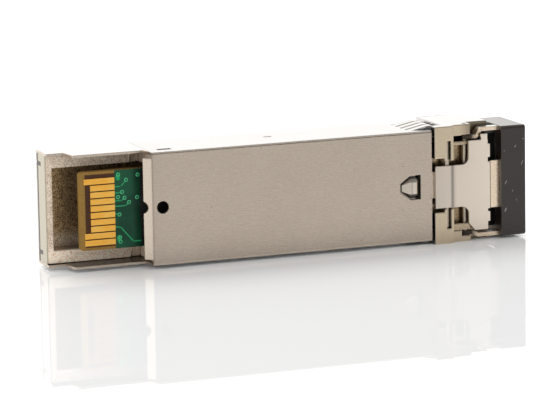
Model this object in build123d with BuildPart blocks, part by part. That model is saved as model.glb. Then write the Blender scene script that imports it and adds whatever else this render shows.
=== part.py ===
from build123d import *
import os
from math import sqrt, tan, radians

# Pluggable optical transceiver with a duplex fibre port and a pull-down bail handle.
# It stands on one long narrow side: +X runs from the host plug end to the fibre port,
# -Y is the side with the latch, +Y the label side, and +Z runs across the width.
# Millimetres. The origin is the middle of the part's box, on the surface it stands on.

# Outer envelope
module_width = 13.4
module_height = 8.5
spring_rise = 0.4
boss_height = 0.45

# Stations along the length, from the host plug end
cover_bend_x = 11.3
side_step_x = 2.05
side_slope_run = 0.4
board_end_x = 3.2
board_to_can = 1.45
cage_stop_x = 46.9
latch_shoulder_x = 45.0
nose_end_x = 54.6
handle_gap = 1.0
rocker_pin_x = 48.75
bail_shaft_x = 51.3
handle_depth = 3.25
overall_length = nose_end_x + handle_gap + handle_depth

# Die-cast housing
rear_bar = 0.83
rear_rim_y = 5.1
label_wall = 1.0
board_bay_wall = 1.5
optics_bay_wall = 0.65
cheek_wall = 1.35
rim_break_x = 10.4
rim_break_depth = 0.35
bay_step_gap = 0.25
nose_corner_radius = 3.0
cheek_front_radius = 0.3
nose_roof_y = 8.3
cheek_face_y = 0.3
nose_floor_y = 1.5
nose_floor_end_x = 52.6
shaft_cover_low = (1.0, 1.8)
shaft_cover_high = (0.5, 0.08)
arm_relief_x = 51.8
arm_relief_y = 1.85
nose_block_rise = 0.3
nose_shoulder_gap = 0.12
nose_block_end_x = 48.18
nose_strip_end_x = 49.35
nose_block_width = 3.83
nose_strip_width = 4.15
nose_block_depth = 1.9
pin_seat_length = 2.35
pin_end_gap = 0.05

# Folded sheet cover
sheet = 0.3
bend_radius = 0.28
ramp_length = 1.15
ramp_angle = 45.0
ramp_side_gap = 0.75
hole_x = 12.58
hole_diameter = 1.47
notch_radius = 0.8
notch_setback = 0.35
notch_shift = 0.18
cover_end_gap = 0.25
low_side_y = 2.1
high_side_y = 4.5
lip_width = 1.18
lip_gap = 0.5
collar_x = 43.6
collar_gap = 0.1
side_windows = ((12.6, 1.7, 1.3, 0.8), (27.0, 1.0, 4.5, 0.4))

# Spring finger collar
spring_sheet = 0.2
finger_pitch = 1.4
finger_slot = 0.2
finger_start_x = 44.2
finger_apex_x = 46.9
finger_end_x = 48.1
spring_crest = 0.6
finger_margin = 0.6
finger_side_start_y = 1.0

# Latch rocker, its pin and its spring
rocker_sheet = 0.35
rocker_proud = 0.15
rocker_pin_diameter = 0.6
rocker_pin_depth = 0.45
pin_end_radius = 0.09
running_clearance = 0.04
rocker_barrel_wall = 0.26
rocker_waist_low = 3.9
rocker_waist_high = 9.0
rocker_ear = 0.7
rocker_ear_length = 0.8
rocker_wide_x = 51.4
rocker_front_x = 53.9
rocker_fold_x = 49.3
rocker_fold_drop = 0.12
rocker_slant = (0.8, 0.95)
rocker_bulge = 0.28
rocker_bulges = ((0.95, 2.15), (2.5, 8.2), (8.75, 10.35))
rocker_ear_gap = 0.05
rocker_barrel_gap = 0.1
rocker_rear_gap = 0.18
tail_overhang = 0.3
rocker_fillet = 0.9
tail_width = 3.2
tail_top_y = 0.38
tail_thickness = 0.4
boss_width = 2.6
boss_length = 2.3
boss_tip_width = 0.75
boss_taper_length = 1.15
boss_hole_gap = 0.17
boss_rear_lift = 0.1
boss_chamfer = 0.15
latch_coil_diameter = 1.7
latch_wire = 0.22
latch_coil_x = 44.2
latch_coil_turns = 2.5

# Bail: shaft, stamped bracket and moulded handle
bail_shaft_diameter = 0.64
bail_shaft_y = 0.95
bail_shaft_sink = 0.15
arm_thickness = 0.5
arm_bend = 0.8
arm_depth = 1.0
arm_eye_diameter = 1.1
arm_eye_gap = 0.1
arm_side_gap = 0.1
arm_low_gap = -0.05
arm_high_gap = 0.15
arm_jog_low = 0.38
arm_jog_high = 0.82
arm_jog_start_x = 52.2
arm_jog_run = 0.95
arm_jog_lead = 0.12
web_thickness = 0.4
web_setback = 0.5
tongue_width = 5.6
tongue_reach = 1.05
tongue_y = 0.75
handle_side_cover = 0.05
handle_face_y = -0.3
handle_height = 7.4
handle_leg = 1.1
handle_bar_height = 2.1
handle_radius = 0.35
handle_front_radius = 0.175

# Fibre port block
port_wall = 1.75
port_height = 4.55
port_floor_y = 2.1
port_depth = 7.9
port_slot_width = 3.2
port_slot_depth = 5.9
port_lip = 0.9
flange_start_x = 54.3
flange_floor_y = 1.3
receptacle_rear_x = 43.4
receptacle_floor_y = 1.75
receptacle_gap = 0.1

# Optical subassemblies
barrel_diameter = 3.0
barrel_setback = 4.1
fibre_bore = 1.25
fibre_bore_depth = 4.2
can_side_gap = 0.125
can_middle_gap = 1.25
can_length = 5.8
transmit_can_steps = ((0, 0.35), (1.2, 0.0), (3.6, 0.4))
receive_can_steps = ((0, 0.25), (0.8, 0.0))
neck_length = 1.0
flange_inset = 0.3
neck_inset = 0.5
flange_thickness = 1.2
clamp_thickness = 0.7
clamp_clearance = 0.05
flex_thickness = 0.15
flex_width = 3.2
flex_overlap = 2.4
flex_standoff = 0.3
flex_reach = 1.92
lead_length = 0.5
lead_hole_gap = 0.02
lead_diameter = 0.4
lead_spacing = 1.27

# Circuit board, contacts and chips
board_thickness = 1.0
board_face_y = 2.25
board_side_gap = 0.3
board_corner_radius = 0.35
board_bevel = 0.25
board_bevel_run = 0.5
contact_count = 10
contact_pitch = 0.8
contact_width = 0.66
contact_thickness = 0.05
contact_row_shift = -0.15
contact_end_x = 7.47
long_contact_x = 3.74
short_contact_x = 4.50
bottom_long_contacts = (0, 1, contact_count - 1)
top_long_contacts = (0, 3, contact_count - 1)
ledge_width = 0.75
ledge_start_x = 14.0
ledge_end_gap = 1.6
chip_height = 0.85
chip_edge = 0.08
driver_size = 4.0
driver_setback = 7.2
amplifier_size = 3.0
controller_size = 5.0
controller_reach = 14.8
memory_length = 3.0
memory_width = 2.0
memory_height = 0.75
capacitor_columns = 3
capacitor_pitch = 1.3
capacitor_length = 1.0
capacitor_height = 0.5
inductor_length = 1.6
inductor_height = 0.8
passive_inset = 1.2
pedestal_size = 4.4
pad_thickness = 0.5
label_thickness = 0.1
label_margin = 0.6
label_end_margin = 1.8
label_edge_gap = 0.1
label_corner = 0.4
label_recess = 0.1

# Places worked out from the sizes above
x0 = -overall_length / 2
y0 = -(module_height + spring_rise + boss_height) / 2 + boss_height
z0 = spring_rise
z_mid = z0 + module_width / 2
board_width = module_width - 2 * (sheet + board_bay_wall + board_side_gap)
can_diameter = module_width / 2 - sheet - optics_bay_wall - can_side_gap - can_middle_gap / 2
flange_diameter = can_diameter - 2 * flange_inset
neck_diameter = flange_diameter - 2 * neck_inset
port_pitch = can_diameter + can_middle_gap
port_width = port_pitch - port_wall
z_top = z0 + module_width
label_y = y0 + module_height
receptacle_front_x = nose_end_x + port_lip
barrel_tip_x = receptacle_front_x - barrel_setback
rocker_wide_low = arm_low_gap + arm_thickness + arm_jog_low + arm_eye_gap
rocker_wide_high = module_width - arm_high_gap - arm_thickness - arm_jog_high - arm_eye_gap
optic_y = y0 + port_floor_y + port_height / 2
port_low_z = z_mid - port_pitch / 2
port_high_z = z_mid + port_pitch / 2
nose_top = z_top + spring_rise


def block(x_from, x_to, y_from, y_to, z_from, z_to, mode=Mode.ADD):
    """Adds or cuts one rectangular block, given by its limits along each axis."""
    centre = ((x_from + x_to) / 2, (y_from + y_to) / 2, (z_from + z_to) / 2)
    with Locations(centre):
        Box(x_to - x_from, y_to - y_from, z_to - z_from, mode=mode)


def both_sides(inner, outer):
    """Gives the two ranges across the width that lie inner to outer in from the narrow sides."""
    return ((z0 + inner, z0 + outer), (z_top - outer, z_top - inner))


def rod(x, y, z_from, z_to, radius, mode=Mode.ADD):
    """Adds or cuts a round rod that lies along the width."""
    with BuildSketch(Plane.XY.offset(z_from)) as disc:
        with Locations((x, y)):
            Circle(radius)
    extrude(disc.sketch, amount=z_to - z_from, mode=mode)


def turned(x_from, x_to, y, z, radius, mode=Mode.ADD):
    """Adds or cuts a round length that lies along the module."""
    with BuildSketch(Plane(origin=(x_from, y, z), x_dir=(0, 1, 0), z_dir=(1, 0, 0))) as disc:
        Circle(radius)
    extrude(disc.sketch, amount=x_to - x_from, mode=mode)


def write(part, name):
    part.part.label = name
    export_step(part.part, "parts/" + name + ".step")


os.makedirs("parts", exist_ok=True)

# Die-cast housing: a tray open toward the cover, with the nose and its two cheeks in front.
flange_x = x0 + receptacle_rear_x - flange_thickness
neck_x = flange_x - neck_length
can_x = neck_x - can_length
board_x = x0 + board_end_x
board_far_x = can_x - flex_standoff - board_to_can
board_length = board_far_x - board_x
pedestal_x = board_far_x - driver_setback
controller_x = board_x + controller_reach
x_stop = x0 + cage_stop_x
x_nose_end = x0 + nose_end_x
x_shoulder = x0 + nose_block_end_x + nose_shoulder_gap
bay_top_y = label_y - label_wall
cover_inner_y = y0 + sheet
wall_start_x = x0 + cover_bend_x + sheet
lip_recess_z = lip_width + lip_gap
bay_low_z = z0 - spring_rise + cheek_wall
bay_high_z = nose_top - cheek_wall
shaft_x = x0 + bail_shaft_x
shaft_y = y0 + bail_shaft_y
pin_x = x0 + rocker_pin_x
pin_y = y0 + rocker_pin_depth
pin_radius = rocker_pin_diameter / 2
shaft_radius = bail_shaft_diameter / 2

with BuildPart() as housing:
    block(x0, x_stop, cover_inner_y, label_y, z0 + sheet, z_top - sheet)
    # The rear of the tray is cut back to leave a rim, with a small break where two die halves meet.
    block(x0, x0 + rim_break_x, cover_inner_y, y0 + rear_rim_y, z0, z_top, Mode.SUBTRACT)
    rim_break_y = y0 + rear_rim_y + rim_break_depth
    block(x0 + rim_break_x, wall_start_x, cover_inner_y, rim_break_y, z0, z_top, Mode.SUBTRACT)
    # Bays for the circuit board and for the optics.
    board_bay_z = (z0 + sheet + board_bay_wall, z_top - sheet - board_bay_wall)
    block(x0 + rear_bar, board_far_x + bay_step_gap, cover_inner_y, bay_top_y, *board_bay_z, Mode.SUBTRACT)
    optics_bay_z = (z0 + sheet + optics_bay_wall, z_top - sheet - optics_bay_wall)
    block(board_far_x + bay_step_gap, x_stop, cover_inner_y, bay_top_y, *optics_bay_z, Mode.SUBTRACT)
    # Ledges that the board lies on, and the pedestal that cools the driver chip.
    board_back_y = y0 + board_face_y + board_thickness
    for low, high in both_sides(sheet + board_bay_wall, sheet + board_bay_wall + ledge_width):
        block(x0 + ledge_start_x, board_far_x - ledge_end_gap, board_back_y, bay_top_y, low, high)
    pedestal_y = board_back_y + chip_height + pad_thickness
    half_pedestal = pedestal_size / 2
    block(pedestal_x - half_pedestal, pedestal_x + half_pedestal, pedestal_y, bay_top_y,
          z_mid - half_pedestal, z_mid + half_pedestal)
    # Nose with its rounded front corner.
    with BuildSketch(Plane.XY.offset(z0 - spring_rise)):
        with BuildLine():
            FilletPolyline((x_shoulder, y0 + cheek_face_y), (x_nose_end, y0 + cheek_face_y),
                           (x_nose_end, y0 + nose_roof_y), (x_shoulder, y0 + nose_roof_y),
                           radius=[0, cheek_front_radius, nose_corner_radius, 0], close=True)
        make_face()
    extrude(amount=module_width + 2 * spring_rise)
    block(x_stop, x_shoulder, y0 + cheek_face_y, label_y - spring_sheet, z0 + sheet, z_top - sheet)
    block(x_stop, x_nose_end, y0 + cheek_face_y, bay_top_y, bay_low_z, bay_high_z, Mode.SUBTRACT)
    # Floor of the nose below the bail shaft, and the two lugs that carry the shaft.
    block(x_stop, x0 + nose_floor_end_x, y0 + nose_floor_y, y0 + receptacle_floor_y,
          bay_low_z, z0 + rocker_wide_high - shaft_cover_high[1])
    for low, high in (shaft_cover_low, (rocker_wide_high - shaft_cover_high[0],
                                        rocker_wide_high - shaft_cover_high[1])):
        block(x0 + nose_strip_end_x, x0 + arm_relief_x, y0 + cheek_face_y, y0 + receptacle_floor_y,
              z0 + low, z0 + high)
    # Latch bearing blocks beside the waist of the rocker.
    for side in (0, 1):
        def across(depth):
            return z0 - spring_rise + depth if side == 0 else nose_top - depth
        low, high = sorted((across(0), across(nose_block_width)))
        block(x_stop, x0 + nose_block_end_x, y0 - nose_block_rise, y0 + nose_block_depth - nose_block_rise,
              low, high)
        low, high = sorted((across(0), across(nose_strip_width)))
        block(x0 + nose_block_end_x, x0 + nose_strip_end_x, y0 - nose_block_rise,
              y0 + nose_block_depth - nose_block_rise, low, high)
        low, high = sorted((across(nose_strip_width), across(nose_strip_width - pin_seat_length)))
        block(pin_x - pin_radius, pin_x + pin_radius, y0 - nose_block_rise, pin_y, low, high, Mode.SUBTRACT)
        rod(pin_x, pin_y, low, high, pin_radius, Mode.SUBTRACT)
    # The blocks give way to the side fingers of the spring collar.
    for low, high in ((z0 - spring_rise, z0 + sheet), (z_top - sheet, nose_top)):
        block(x_stop, x_shoulder, y0 + finger_side_start_y, label_y, low, high, Mode.SUBTRACT)
    # Room for the bail arms, and the holes that carry the bail shaft.
    for low, high in ((z0 - spring_rise, bay_low_z), (bay_high_z, nose_top)):
        block(x0 + arm_relief_x, x_nose_end, y0, y0 + arm_relief_y, low, high, Mode.SUBTRACT)
    eye_low_z = z0 + rocker_wide_low - arm_eye_gap - arm_thickness - arm_side_gap
    eye_high_z = z0 + rocker_wide_high + arm_eye_gap + arm_thickness + arm_side_gap
    for low, high in ((eye_low_z, bay_low_z), (z0 + rocker_wide_high, eye_high_z)):
        block(shaft_x - arm_eye_diameter / 2 - arm_side_gap, x_nose_end, y0, y0 + arm_relief_y,
              low, high, Mode.SUBTRACT)
    rod(shaft_x, shaft_y, z0 - spring_rise, nose_top, shaft_radius, Mode.SUBTRACT)
    # Steps for the cover's lips, the spring collar and the label on the far side.
    for low, high in ((z0 + sheet, z0 + lip_recess_z), (z_top - lip_recess_z, z_top - sheet)):
        block(x0, x0 + collar_x, label_y - sheet, label_y, low, high, Mode.SUBTRACT)
    block(x0 + collar_x - collar_gap, x_stop, label_y - spring_sheet, label_y, z0, z_top, Mode.SUBTRACT)
    label_low_z = z0 + lip_recess_z + label_margin
    label_high_z = z_top - lip_recess_z - label_margin
    label_from_x = x0 + side_step_x
    label_to_x = x0 + collar_x - label_end_margin
    block(label_from_x, label_to_x, label_y - label_recess, label_y, label_low_z, label_high_z, Mode.SUBTRACT)
write(housing, "die_cast_housing")

# Bottom cover: folded sheet with a flat plate, two sides, and lips over the label side's corners.
plate_end_x = x_stop - cover_end_gap
boss_rear_x = x0 + latch_shoulder_x - boss_length
boss_front_x = x0 + latch_shoulder_x


def boss_outline(grow):
    """Draws the latch boss seen from its own side, larger all round by grow."""
    with BuildLine() as outline:
        Polyline((boss_rear_x - grow, z_mid - boss_tip_width / 2 - grow),
                 (boss_rear_x + boss_taper_length, z_mid - boss_width / 2 - grow),
                 (boss_front_x + grow, z_mid - boss_width / 2 - grow),
                 (boss_front_x + grow, z_mid + boss_width / 2 + grow),
                 (boss_rear_x + boss_taper_length, z_mid + boss_width / 2 + grow),
                 (boss_rear_x - grow, z_mid + boss_tip_width / 2 + grow), close=True)
    make_face(outline.edges())


with BuildPart() as cover:
    with BuildSketch(Plane.YZ.offset(x0 + cover_bend_x)) as section:
        with Locations((y0 + module_height / 2, z_mid)):
            Rectangle(module_height, module_width)
        with Locations((y0 + module_height / 2 + sheet / 2, z_mid)):
            Rectangle(module_height - sheet, module_width - 2 * sheet, mode=Mode.SUBTRACT)
    extrude(amount=plate_end_x - x0 - cover_bend_x)
    # Sides behind the plate, stepped down at the host plug end.
    for low, high in both_sides(0, sheet):
        with BuildSketch(Plane.XY.offset(low)):
            with BuildLine():
                Polyline((x0, y0 + high_side_y), (x0 + side_step_x, y0 + high_side_y),
                         (x0 + side_step_x + side_slope_run, y0 + low_side_y),
                         (x0 + cover_bend_x - sheet, y0 + low_side_y),
                         (x0 + cover_bend_x, y0 + low_side_y / 2),
                         (x0 + cover_bend_x, label_y), (x0, label_y), close=True)
            make_face()
        extrude(amount=high - low)
    # Lips folded over the corners of the label side.
    for low, high in both_sides(0, lip_width):
        block(x0, x0 + collar_x, label_y - sheet, label_y, low, high)
    # The sides stop at the spring collar.
    block(x0 + collar_x, plate_end_x, y0 + finger_side_start_y, label_y, z0, z_top, Mode.SUBTRACT)
    # Guide ramp at the rear edge of the plate.
    ramp_run = ramp_length * sqrt(0.5)
    ramp_low = z0 + ramp_side_gap
    ramp_high = z_top - ramp_side_gap
    with BuildSketch(Plane.XY.offset(ramp_low)):
        with BuildLine():
            Polyline((x0 + cover_bend_x + sheet, y0), (x0 + cover_bend_x, y0),
                     (x0 + cover_bend_x - ramp_run, y0 + ramp_run),
                     (x0 + cover_bend_x - ramp_run + sheet * sqrt(0.5), y0 + ramp_run + sheet * sqrt(0.5)),
                     (x0 + cover_bend_x + sheet * tan(radians(22.5)), y0 + sheet),
                     (x0 + cover_bend_x + sheet, y0 + sheet), close=True)
        make_face()
    extrude(amount=ramp_high - ramp_low)
    with BuildSketch(Plane.XZ.offset(-y0 - low_side_y)):
        with Locations((x0 + cover_bend_x - ramp_run - notch_setback, z_mid + notch_shift)):
            Circle(notch_radius)
        with Locations((x0 + hole_x, z_mid + notch_shift)):
            Circle(hole_diameter / 2)
    extrude(amount=low_side_y, mode=Mode.SUBTRACT)
    # Opening that the latch boss comes through.
    with BuildSketch(Plane.XZ.offset(-y0 - sheet)):
        boss_outline(boss_hole_gap)
    extrude(amount=sheet, mode=Mode.SUBTRACT)
    # Small windows in the sides, beside the fold.
    for low, high in both_sides(0, sheet):
        for start, length, depth, opening in side_windows:
            block(x0 + start, x0 + start + length, y0 + depth, y0 + depth + opening, low, high, Mode.SUBTRACT)
    long_edges = cover.edges().filter_by(Axis.X).filter_by(lambda e: e.length > module_height * 2)
    plate_edges = long_edges.group_by(Axis.Y)[0]
    outer = plate_edges.group_by(Axis.Z)[0] + plate_edges.group_by(Axis.Z)[-1]
    fillet(outer, bend_radius)
write(cover, "bottom_cover")

# Spring finger collar: thin sprung sheet wrapped over the two sides and the label side.
finger_count_side = int((module_height - finger_side_start_y - finger_margin) / finger_pitch)
finger_count_label = int((module_width - 2 * finger_margin) / finger_pitch)
finger_width = finger_pitch - finger_slot


def finger(plane, base, seat, sense, width):
    """Adds one humped finger: base is its seat, seat the depth of that below the outer face."""
    rise = (spring_rise + seat) * sense
    thick = spring_sheet * sense
    crest = spring_crest / 2
    with BuildSketch(plane) as hump:
        with BuildLine() as outline:
            Polyline((x0 + finger_start_x, base), (x0 + finger_apex_x - crest, base + rise - thick),
                     (x0 + finger_apex_x + crest, base + rise - thick),
                     (x0 + finger_end_x, base + rise / 2 - thick), (x0 + finger_end_x, base + rise / 2),
                     (x0 + finger_apex_x + crest, base + rise), (x0 + finger_apex_x - crest, base + rise),
                     (x0 + finger_start_x, base + thick), close=True)
        make_face(outline.edges())
    extrude(hump.sketch, amount=width)


with BuildPart() as collar:
    side_from = y0 + finger_side_start_y + collar_gap
    for low, high in both_sides(sheet - spring_sheet, sheet):
        block(x0 + collar_x, x0 + finger_start_x, side_from, label_y, low, high)
    block(x0 + collar_x, x0 + finger_start_x, label_y - spring_sheet, label_y,
          z0 + sheet - spring_sheet, z_top - sheet + spring_sheet)
    for i in range(finger_count_side):
        y_low = side_from + i * finger_pitch
        finger(Plane.XZ.offset(-y_low), z_top - sheet, sheet, 1, -finger_width)
        finger(Plane.XZ.offset(-y_low), z0 + sheet, sheet, -1, -finger_width)
    first_z = z_mid - (finger_count_label * finger_pitch - finger_slot) / 2
    for i in range(finger_count_label):
        plane = Plane.XY.offset(first_z + i * finger_pitch)
        finger(plane, label_y - spring_sheet, spring_sheet, 1, finger_width)
write(collar, "emi_spring_collar")

# Latch rocker: a T-shaped front plate, a barrel on the pin, and a tail that carries the boss.
plate_y = y0 - rocker_proud
front_x = x0 + rocker_front_x
wide_x = x0 + rocker_wide_x
barrel_radius = pin_radius + running_clearance + rocker_barrel_wall
tail_y = y0 + tail_top_y
tail_rear_x = boss_rear_x - tail_overhang
waist_rear_x = x_stop + rocker_rear_gap
plate_overlap = 0.02
near = 0.05

with BuildPart() as rocker:
    with BuildSketch(Plane.XZ.offset(-plate_y)) as face:
        with Locations(((waist_rear_x + wide_x) / 2, z0 + (rocker_waist_low + rocker_waist_high) / 2)):
            Rectangle(wide_x - waist_rear_x + plate_overlap, rocker_waist_high - rocker_waist_low)
        slant_run, slant_rise = rocker_slant
        low_z = z0 + rocker_wide_low
        high_z = z0 + rocker_wide_high
        with BuildLine():
            Polyline((wide_x, low_z + slant_rise), (wide_x + slant_run, low_z), (front_x, low_z),
                     (front_x, high_z), (wide_x, high_z), close=True)
        make_face()
        inner_corners = face.vertices().filter_by_position(Axis.X, wide_x - near, wide_x + near)
        inner_corners = inner_corners.filter_by_position(
            Axis.Y, z0 + rocker_waist_low - near, z0 + rocker_waist_high + near)
        fillet(inner_corners, rocker_fillet)
        for low, high in rocker_bulges:
            with Locations((front_x + rocker_bulge / 2, low_z + (low + high) / 2)):
                Rectangle(rocker_bulge, high - low)
        ear_x = front_x - rocker_ear_length / 2 - rocker_ear_gap
        with Locations((ear_x, z0 + rocker_wide_high + rocker_ear / 2)):
            Rectangle(rocker_ear_length, rocker_ear)
    extrude(amount=-rocker_sheet)
    rod(pin_x, pin_y, z0 + rocker_waist_low + rocker_barrel_gap,
        z0 + rocker_waist_high - rocker_barrel_gap, barrel_radius)
    half_tail = tail_width / 2
    block(tail_rear_x, pin_x, tail_y, tail_y + tail_thickness, z_mid - half_tail, z_mid + half_tail)
    block(waist_rear_x, pin_x, plate_y, tail_y + tail_thickness, z_mid - half_tail, z_mid + half_tail)
    # Behind the fold, the face of the plate falls away a little toward the host end.
    with BuildSketch(Plane.XY.offset(z0 + rocker_waist_low)):
        with BuildLine():
            Polyline((waist_rear_x, plate_y), (x0 + rocker_fold_x, plate_y),
                     (waist_rear_x, plate_y + rocker_fold_drop), close=True)
        make_face()
    extrude(amount=rocker_waist_high - rocker_waist_low, mode=Mode.SUBTRACT)
    with BuildSketch(Plane.XZ.offset(-tail_y)):
        boss_outline(0)
    extrude(amount=tail_top_y + boss_height)
    # The boss slopes down toward the host end, so that the cage tongue rides over it.
    with BuildSketch(Plane.XY.offset(z_mid - boss_width)):
        with BuildLine():
            behind_x = boss_rear_x - tail_overhang
            above_y = y0 - 2 * boss_height
            Polyline((behind_x, above_y), (boss_rear_x + boss_taper_length, above_y),
                     (boss_rear_x + boss_taper_length, y0 - boss_height), (boss_rear_x - boss_rear_lift, y0),
                     (behind_x, y0), close=True)
        make_face()
    extrude(amount=2 * boss_width, mode=Mode.SUBTRACT)
    boss_top = rocker.faces().sort_by(Axis.Y)[0].edges()
    chamfer(boss_top.group_by(Axis.X)[1] + boss_top.group_by(Axis.X)[2], boss_chamfer)
    rod(pin_x, pin_y, z0, z_top, pin_radius + running_clearance, Mode.SUBTRACT)
write(rocker, "latch_rocker")

with BuildPart() as rocker_pin:
    pin_reach = pin_seat_length - pin_end_gap
    rod(pin_x, pin_y, z0 - spring_rise + nose_strip_width - pin_reach,
        nose_top - nose_strip_width + pin_reach, pin_radius)
    fillet(rocker_pin.edges().filter_by(GeomType.CIRCLE), pin_end_radius)
write(rocker_pin, "rocker_pin")

# Bail shaft, pressed into both cheeks of the nose.
with BuildPart() as bail_shaft:
    rod(shaft_x, shaft_y, z0 - spring_rise + bail_shaft_sink, nose_top - bail_shaft_sink, shaft_radius)
    chamfer(bail_shaft.edges().filter_by(GeomType.CIRCLE), bail_shaft_sink / 2)
write(bail_shaft, "bail_shaft")

# Bail bracket: one stamped strip with an eye and a jogged arm on each side, a web and a tongue.
handle_rear_x = x0 + overall_length - handle_depth
web_x = handle_rear_x + web_setback
arm_low_y = shaft_y - arm_depth / 2
eye_radius = arm_eye_diameter / 2
arm_outer_low = z0 + arm_low_gap
arm_outer_high = z_top - arm_high_gap


def arm_profile(inner, outer, thickness):
    """Draws one arm seen on its edge: flat past the eye, stepped outward, then flat to the web."""
    step = outer - thickness
    jog_x = x0 + arm_jog_start_x
    with BuildLine() as outline:
        FilletPolyline((shaft_x - eye_radius, inner), (jog_x, inner), (jog_x + arm_jog_run, step),
                       (web_x, step), (web_x, outer), (jog_x + arm_jog_run - arm_jog_lead, outer),
                       (jog_x - arm_jog_lead, inner + thickness),
                       (shaft_x - eye_radius, inner + thickness),
                       radius=[0, arm_bend, arm_bend, 0, 0, arm_bend, arm_bend, 0], close=True)
    make_face(outline.edges())


with BuildPart() as bracket:
    for wide, outer, outward in ((rocker_wide_low, arm_outer_low, -1), (rocker_wide_high, arm_outer_high, 1)):
        with BuildSketch(Plane.XZ.offset(-arm_low_y)):
            arm_profile(z0 + wide + arm_eye_gap * outward, outer, arm_thickness * outward)
        extrude(amount=-arm_depth)
    # The rear end of each arm is rounded to an eye about the shaft.
    with BuildSketch(Plane.XY.offset(z0 - spring_rise)) as eye_trim:
        with Locations((shaft_x - eye_radius / 2, shaft_y)):
            Rectangle(eye_radius, arm_eye_diameter * 2)
        with Locations((shaft_x, shaft_y)):
            Circle(arm_depth / 2, mode=Mode.SUBTRACT)
    extrude(amount=module_width + 2 * spring_rise, mode=Mode.SUBTRACT)
    block(web_x, web_x + web_thickness, arm_low_y, arm_low_y + arm_depth,
          arm_outer_low, arm_outer_high)
    block(handle_rear_x - tongue_reach, web_x, y0 + tongue_y, y0 + tongue_y + web_thickness,
          z_mid - tongue_width / 2, z_mid + tongue_width / 2)
    rod(shaft_x, shaft_y, z0, z_top, shaft_radius + running_clearance, Mode.SUBTRACT)
write(bracket, "bail_bracket")

# Bail handle: black moulding, a bar below the fibre ports with a leg up each side.
with BuildPart() as handle:
    low_z = arm_outer_low - handle_side_cover
    high_z = arm_outer_high + handle_side_cover
    handle_low_y = y0 + handle_face_y
    block(handle_rear_x, x0 + overall_length, handle_low_y, handle_low_y + handle_height, low_z, high_z)
    fillet(handle.edges().filter_by(Axis.X), handle_radius)
    block(handle_rear_x, x0 + overall_length, handle_low_y + handle_bar_height, label_y,
          low_z + handle_leg, high_z - handle_leg, Mode.SUBTRACT)
    fillet(handle.faces().sort_by(Axis.X)[-1].outer_wire().edges(), handle_front_radius)
    add(bracket.part, mode=Mode.SUBTRACT)
write(handle, "bail_handle")

# Fibre port block: black moulding with two square ports and a latch slot over each.
receptacle_low_z = bay_low_z + receptacle_gap
receptacle_high_z = bay_high_z - receptacle_gap
port_end_x = x0 + receptacle_front_x
ferrule_radius = barrel_diameter / 2
with BuildPart() as receptacle:
    block(x0 + receptacle_rear_x, port_end_x, y0 + receptacle_floor_y, bay_top_y,
          receptacle_low_z, receptacle_high_z)
    for port_z in (port_low_z, port_high_z):
        half = port_width / 2
        block(port_end_x - port_depth, port_end_x, y0 + port_floor_y, y0 + port_floor_y + port_height,
              port_z - half, port_z + half, Mode.SUBTRACT)
        half = port_slot_width / 2
        block(port_end_x - port_slot_depth, port_end_x, y0 + port_floor_y, bay_top_y,
              port_z - half, port_z + half, Mode.SUBTRACT)
        turned(x0 + receptacle_rear_x, port_end_x - port_depth, optic_y, port_z,
               ferrule_radius + clamp_clearance, Mode.SUBTRACT)
    # Flange that closes the front of the nose below the ports.
    block(x0 + flange_start_x, port_end_x, y0 + flange_floor_y, y0 + receptacle_floor_y,
          receptacle_low_z, receptacle_high_z)
write(receptacle, "fibre_port_block")

# Optical subassemblies: a turned metal barrel with flange, neck and can, and its leads.
def subassembly(port_z, can_steps):
    """Makes one turned subassembly, with the can narrowed in steps toward its neck."""
    with BuildPart() as unit:
        turned(x0 + receptacle_rear_x, x0 + barrel_tip_x, optic_y, port_z, ferrule_radius)
        turned(flange_x, x0 + receptacle_rear_x, optic_y, port_z, flange_diameter / 2)
        turned(neck_x, flange_x, optic_y, port_z, neck_diameter / 2)
        for start, inset in can_steps:
            turned(can_x + start, neck_x, optic_y, port_z, can_diameter / 2 - inset)
        turned(x0 + barrel_tip_x - fibre_bore_depth, x0 + barrel_tip_x, optic_y, port_z,
               fibre_bore / 2, Mode.SUBTRACT)
        for dy, dz in ((-1, -1), (-1, 1), (1, -1), (1, 1)):
            turned(can_x - lead_length, can_x, optic_y + dy * lead_spacing / 2, port_z + dz * lead_spacing / 2,
                   lead_diameter / 2)
    return unit


write(subassembly(port_high_z, transmit_can_steps), "transmit_subassembly")
write(subassembly(port_low_z, receive_can_steps), "receive_subassembly")

# Clamp plate that holds both flanges against the port block.
clamp_end_x = flange_x
with BuildPart() as clamp:
    block(clamp_end_x - clamp_thickness, clamp_end_x, y0 + receptacle_floor_y, bay_top_y,
          z0 + sheet + optics_bay_wall, z_top - sheet - optics_bay_wall)
    for port_z in (port_low_z, port_high_z):
        gap = neck_diameter / 2 + clamp_clearance
        turned(clamp_end_x - clamp_thickness, clamp_end_x, optic_y, port_z, gap, Mode.SUBTRACT)
        block(clamp_end_x - clamp_thickness, clamp_end_x, y0 + receptacle_floor_y, optic_y,
              port_z - gap, port_z + gap, Mode.SUBTRACT)
write(clamp, "subassembly_clamp")

# Circuit board with rounded corners at the plug end.
board_y = y0 + board_face_y
with BuildPart() as board:
    with BuildSketch(Plane.XY.offset(z_mid - board_width / 2)):
        with BuildLine():
            Polyline((board_far_x, board_y), (board_x + board_bevel_run, board_y),
                     (board_x, board_y + board_bevel), (board_x, board_back_y - board_bevel),
                     (board_x + board_bevel_run, board_back_y), (board_far_x, board_back_y), close=True)
        make_face()
    extrude(amount=board_width)
    with BuildSketch(Plane.XZ.offset(-board_back_y)) as outline:
        with Locations((board_x + board_length / 2, z_mid)):
            RectangleRounded(board_length, board_width, board_corner_radius)
    extrude(amount=board_thickness, mode=Mode.INTERSECT)
write(board, "circuit_board")


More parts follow.
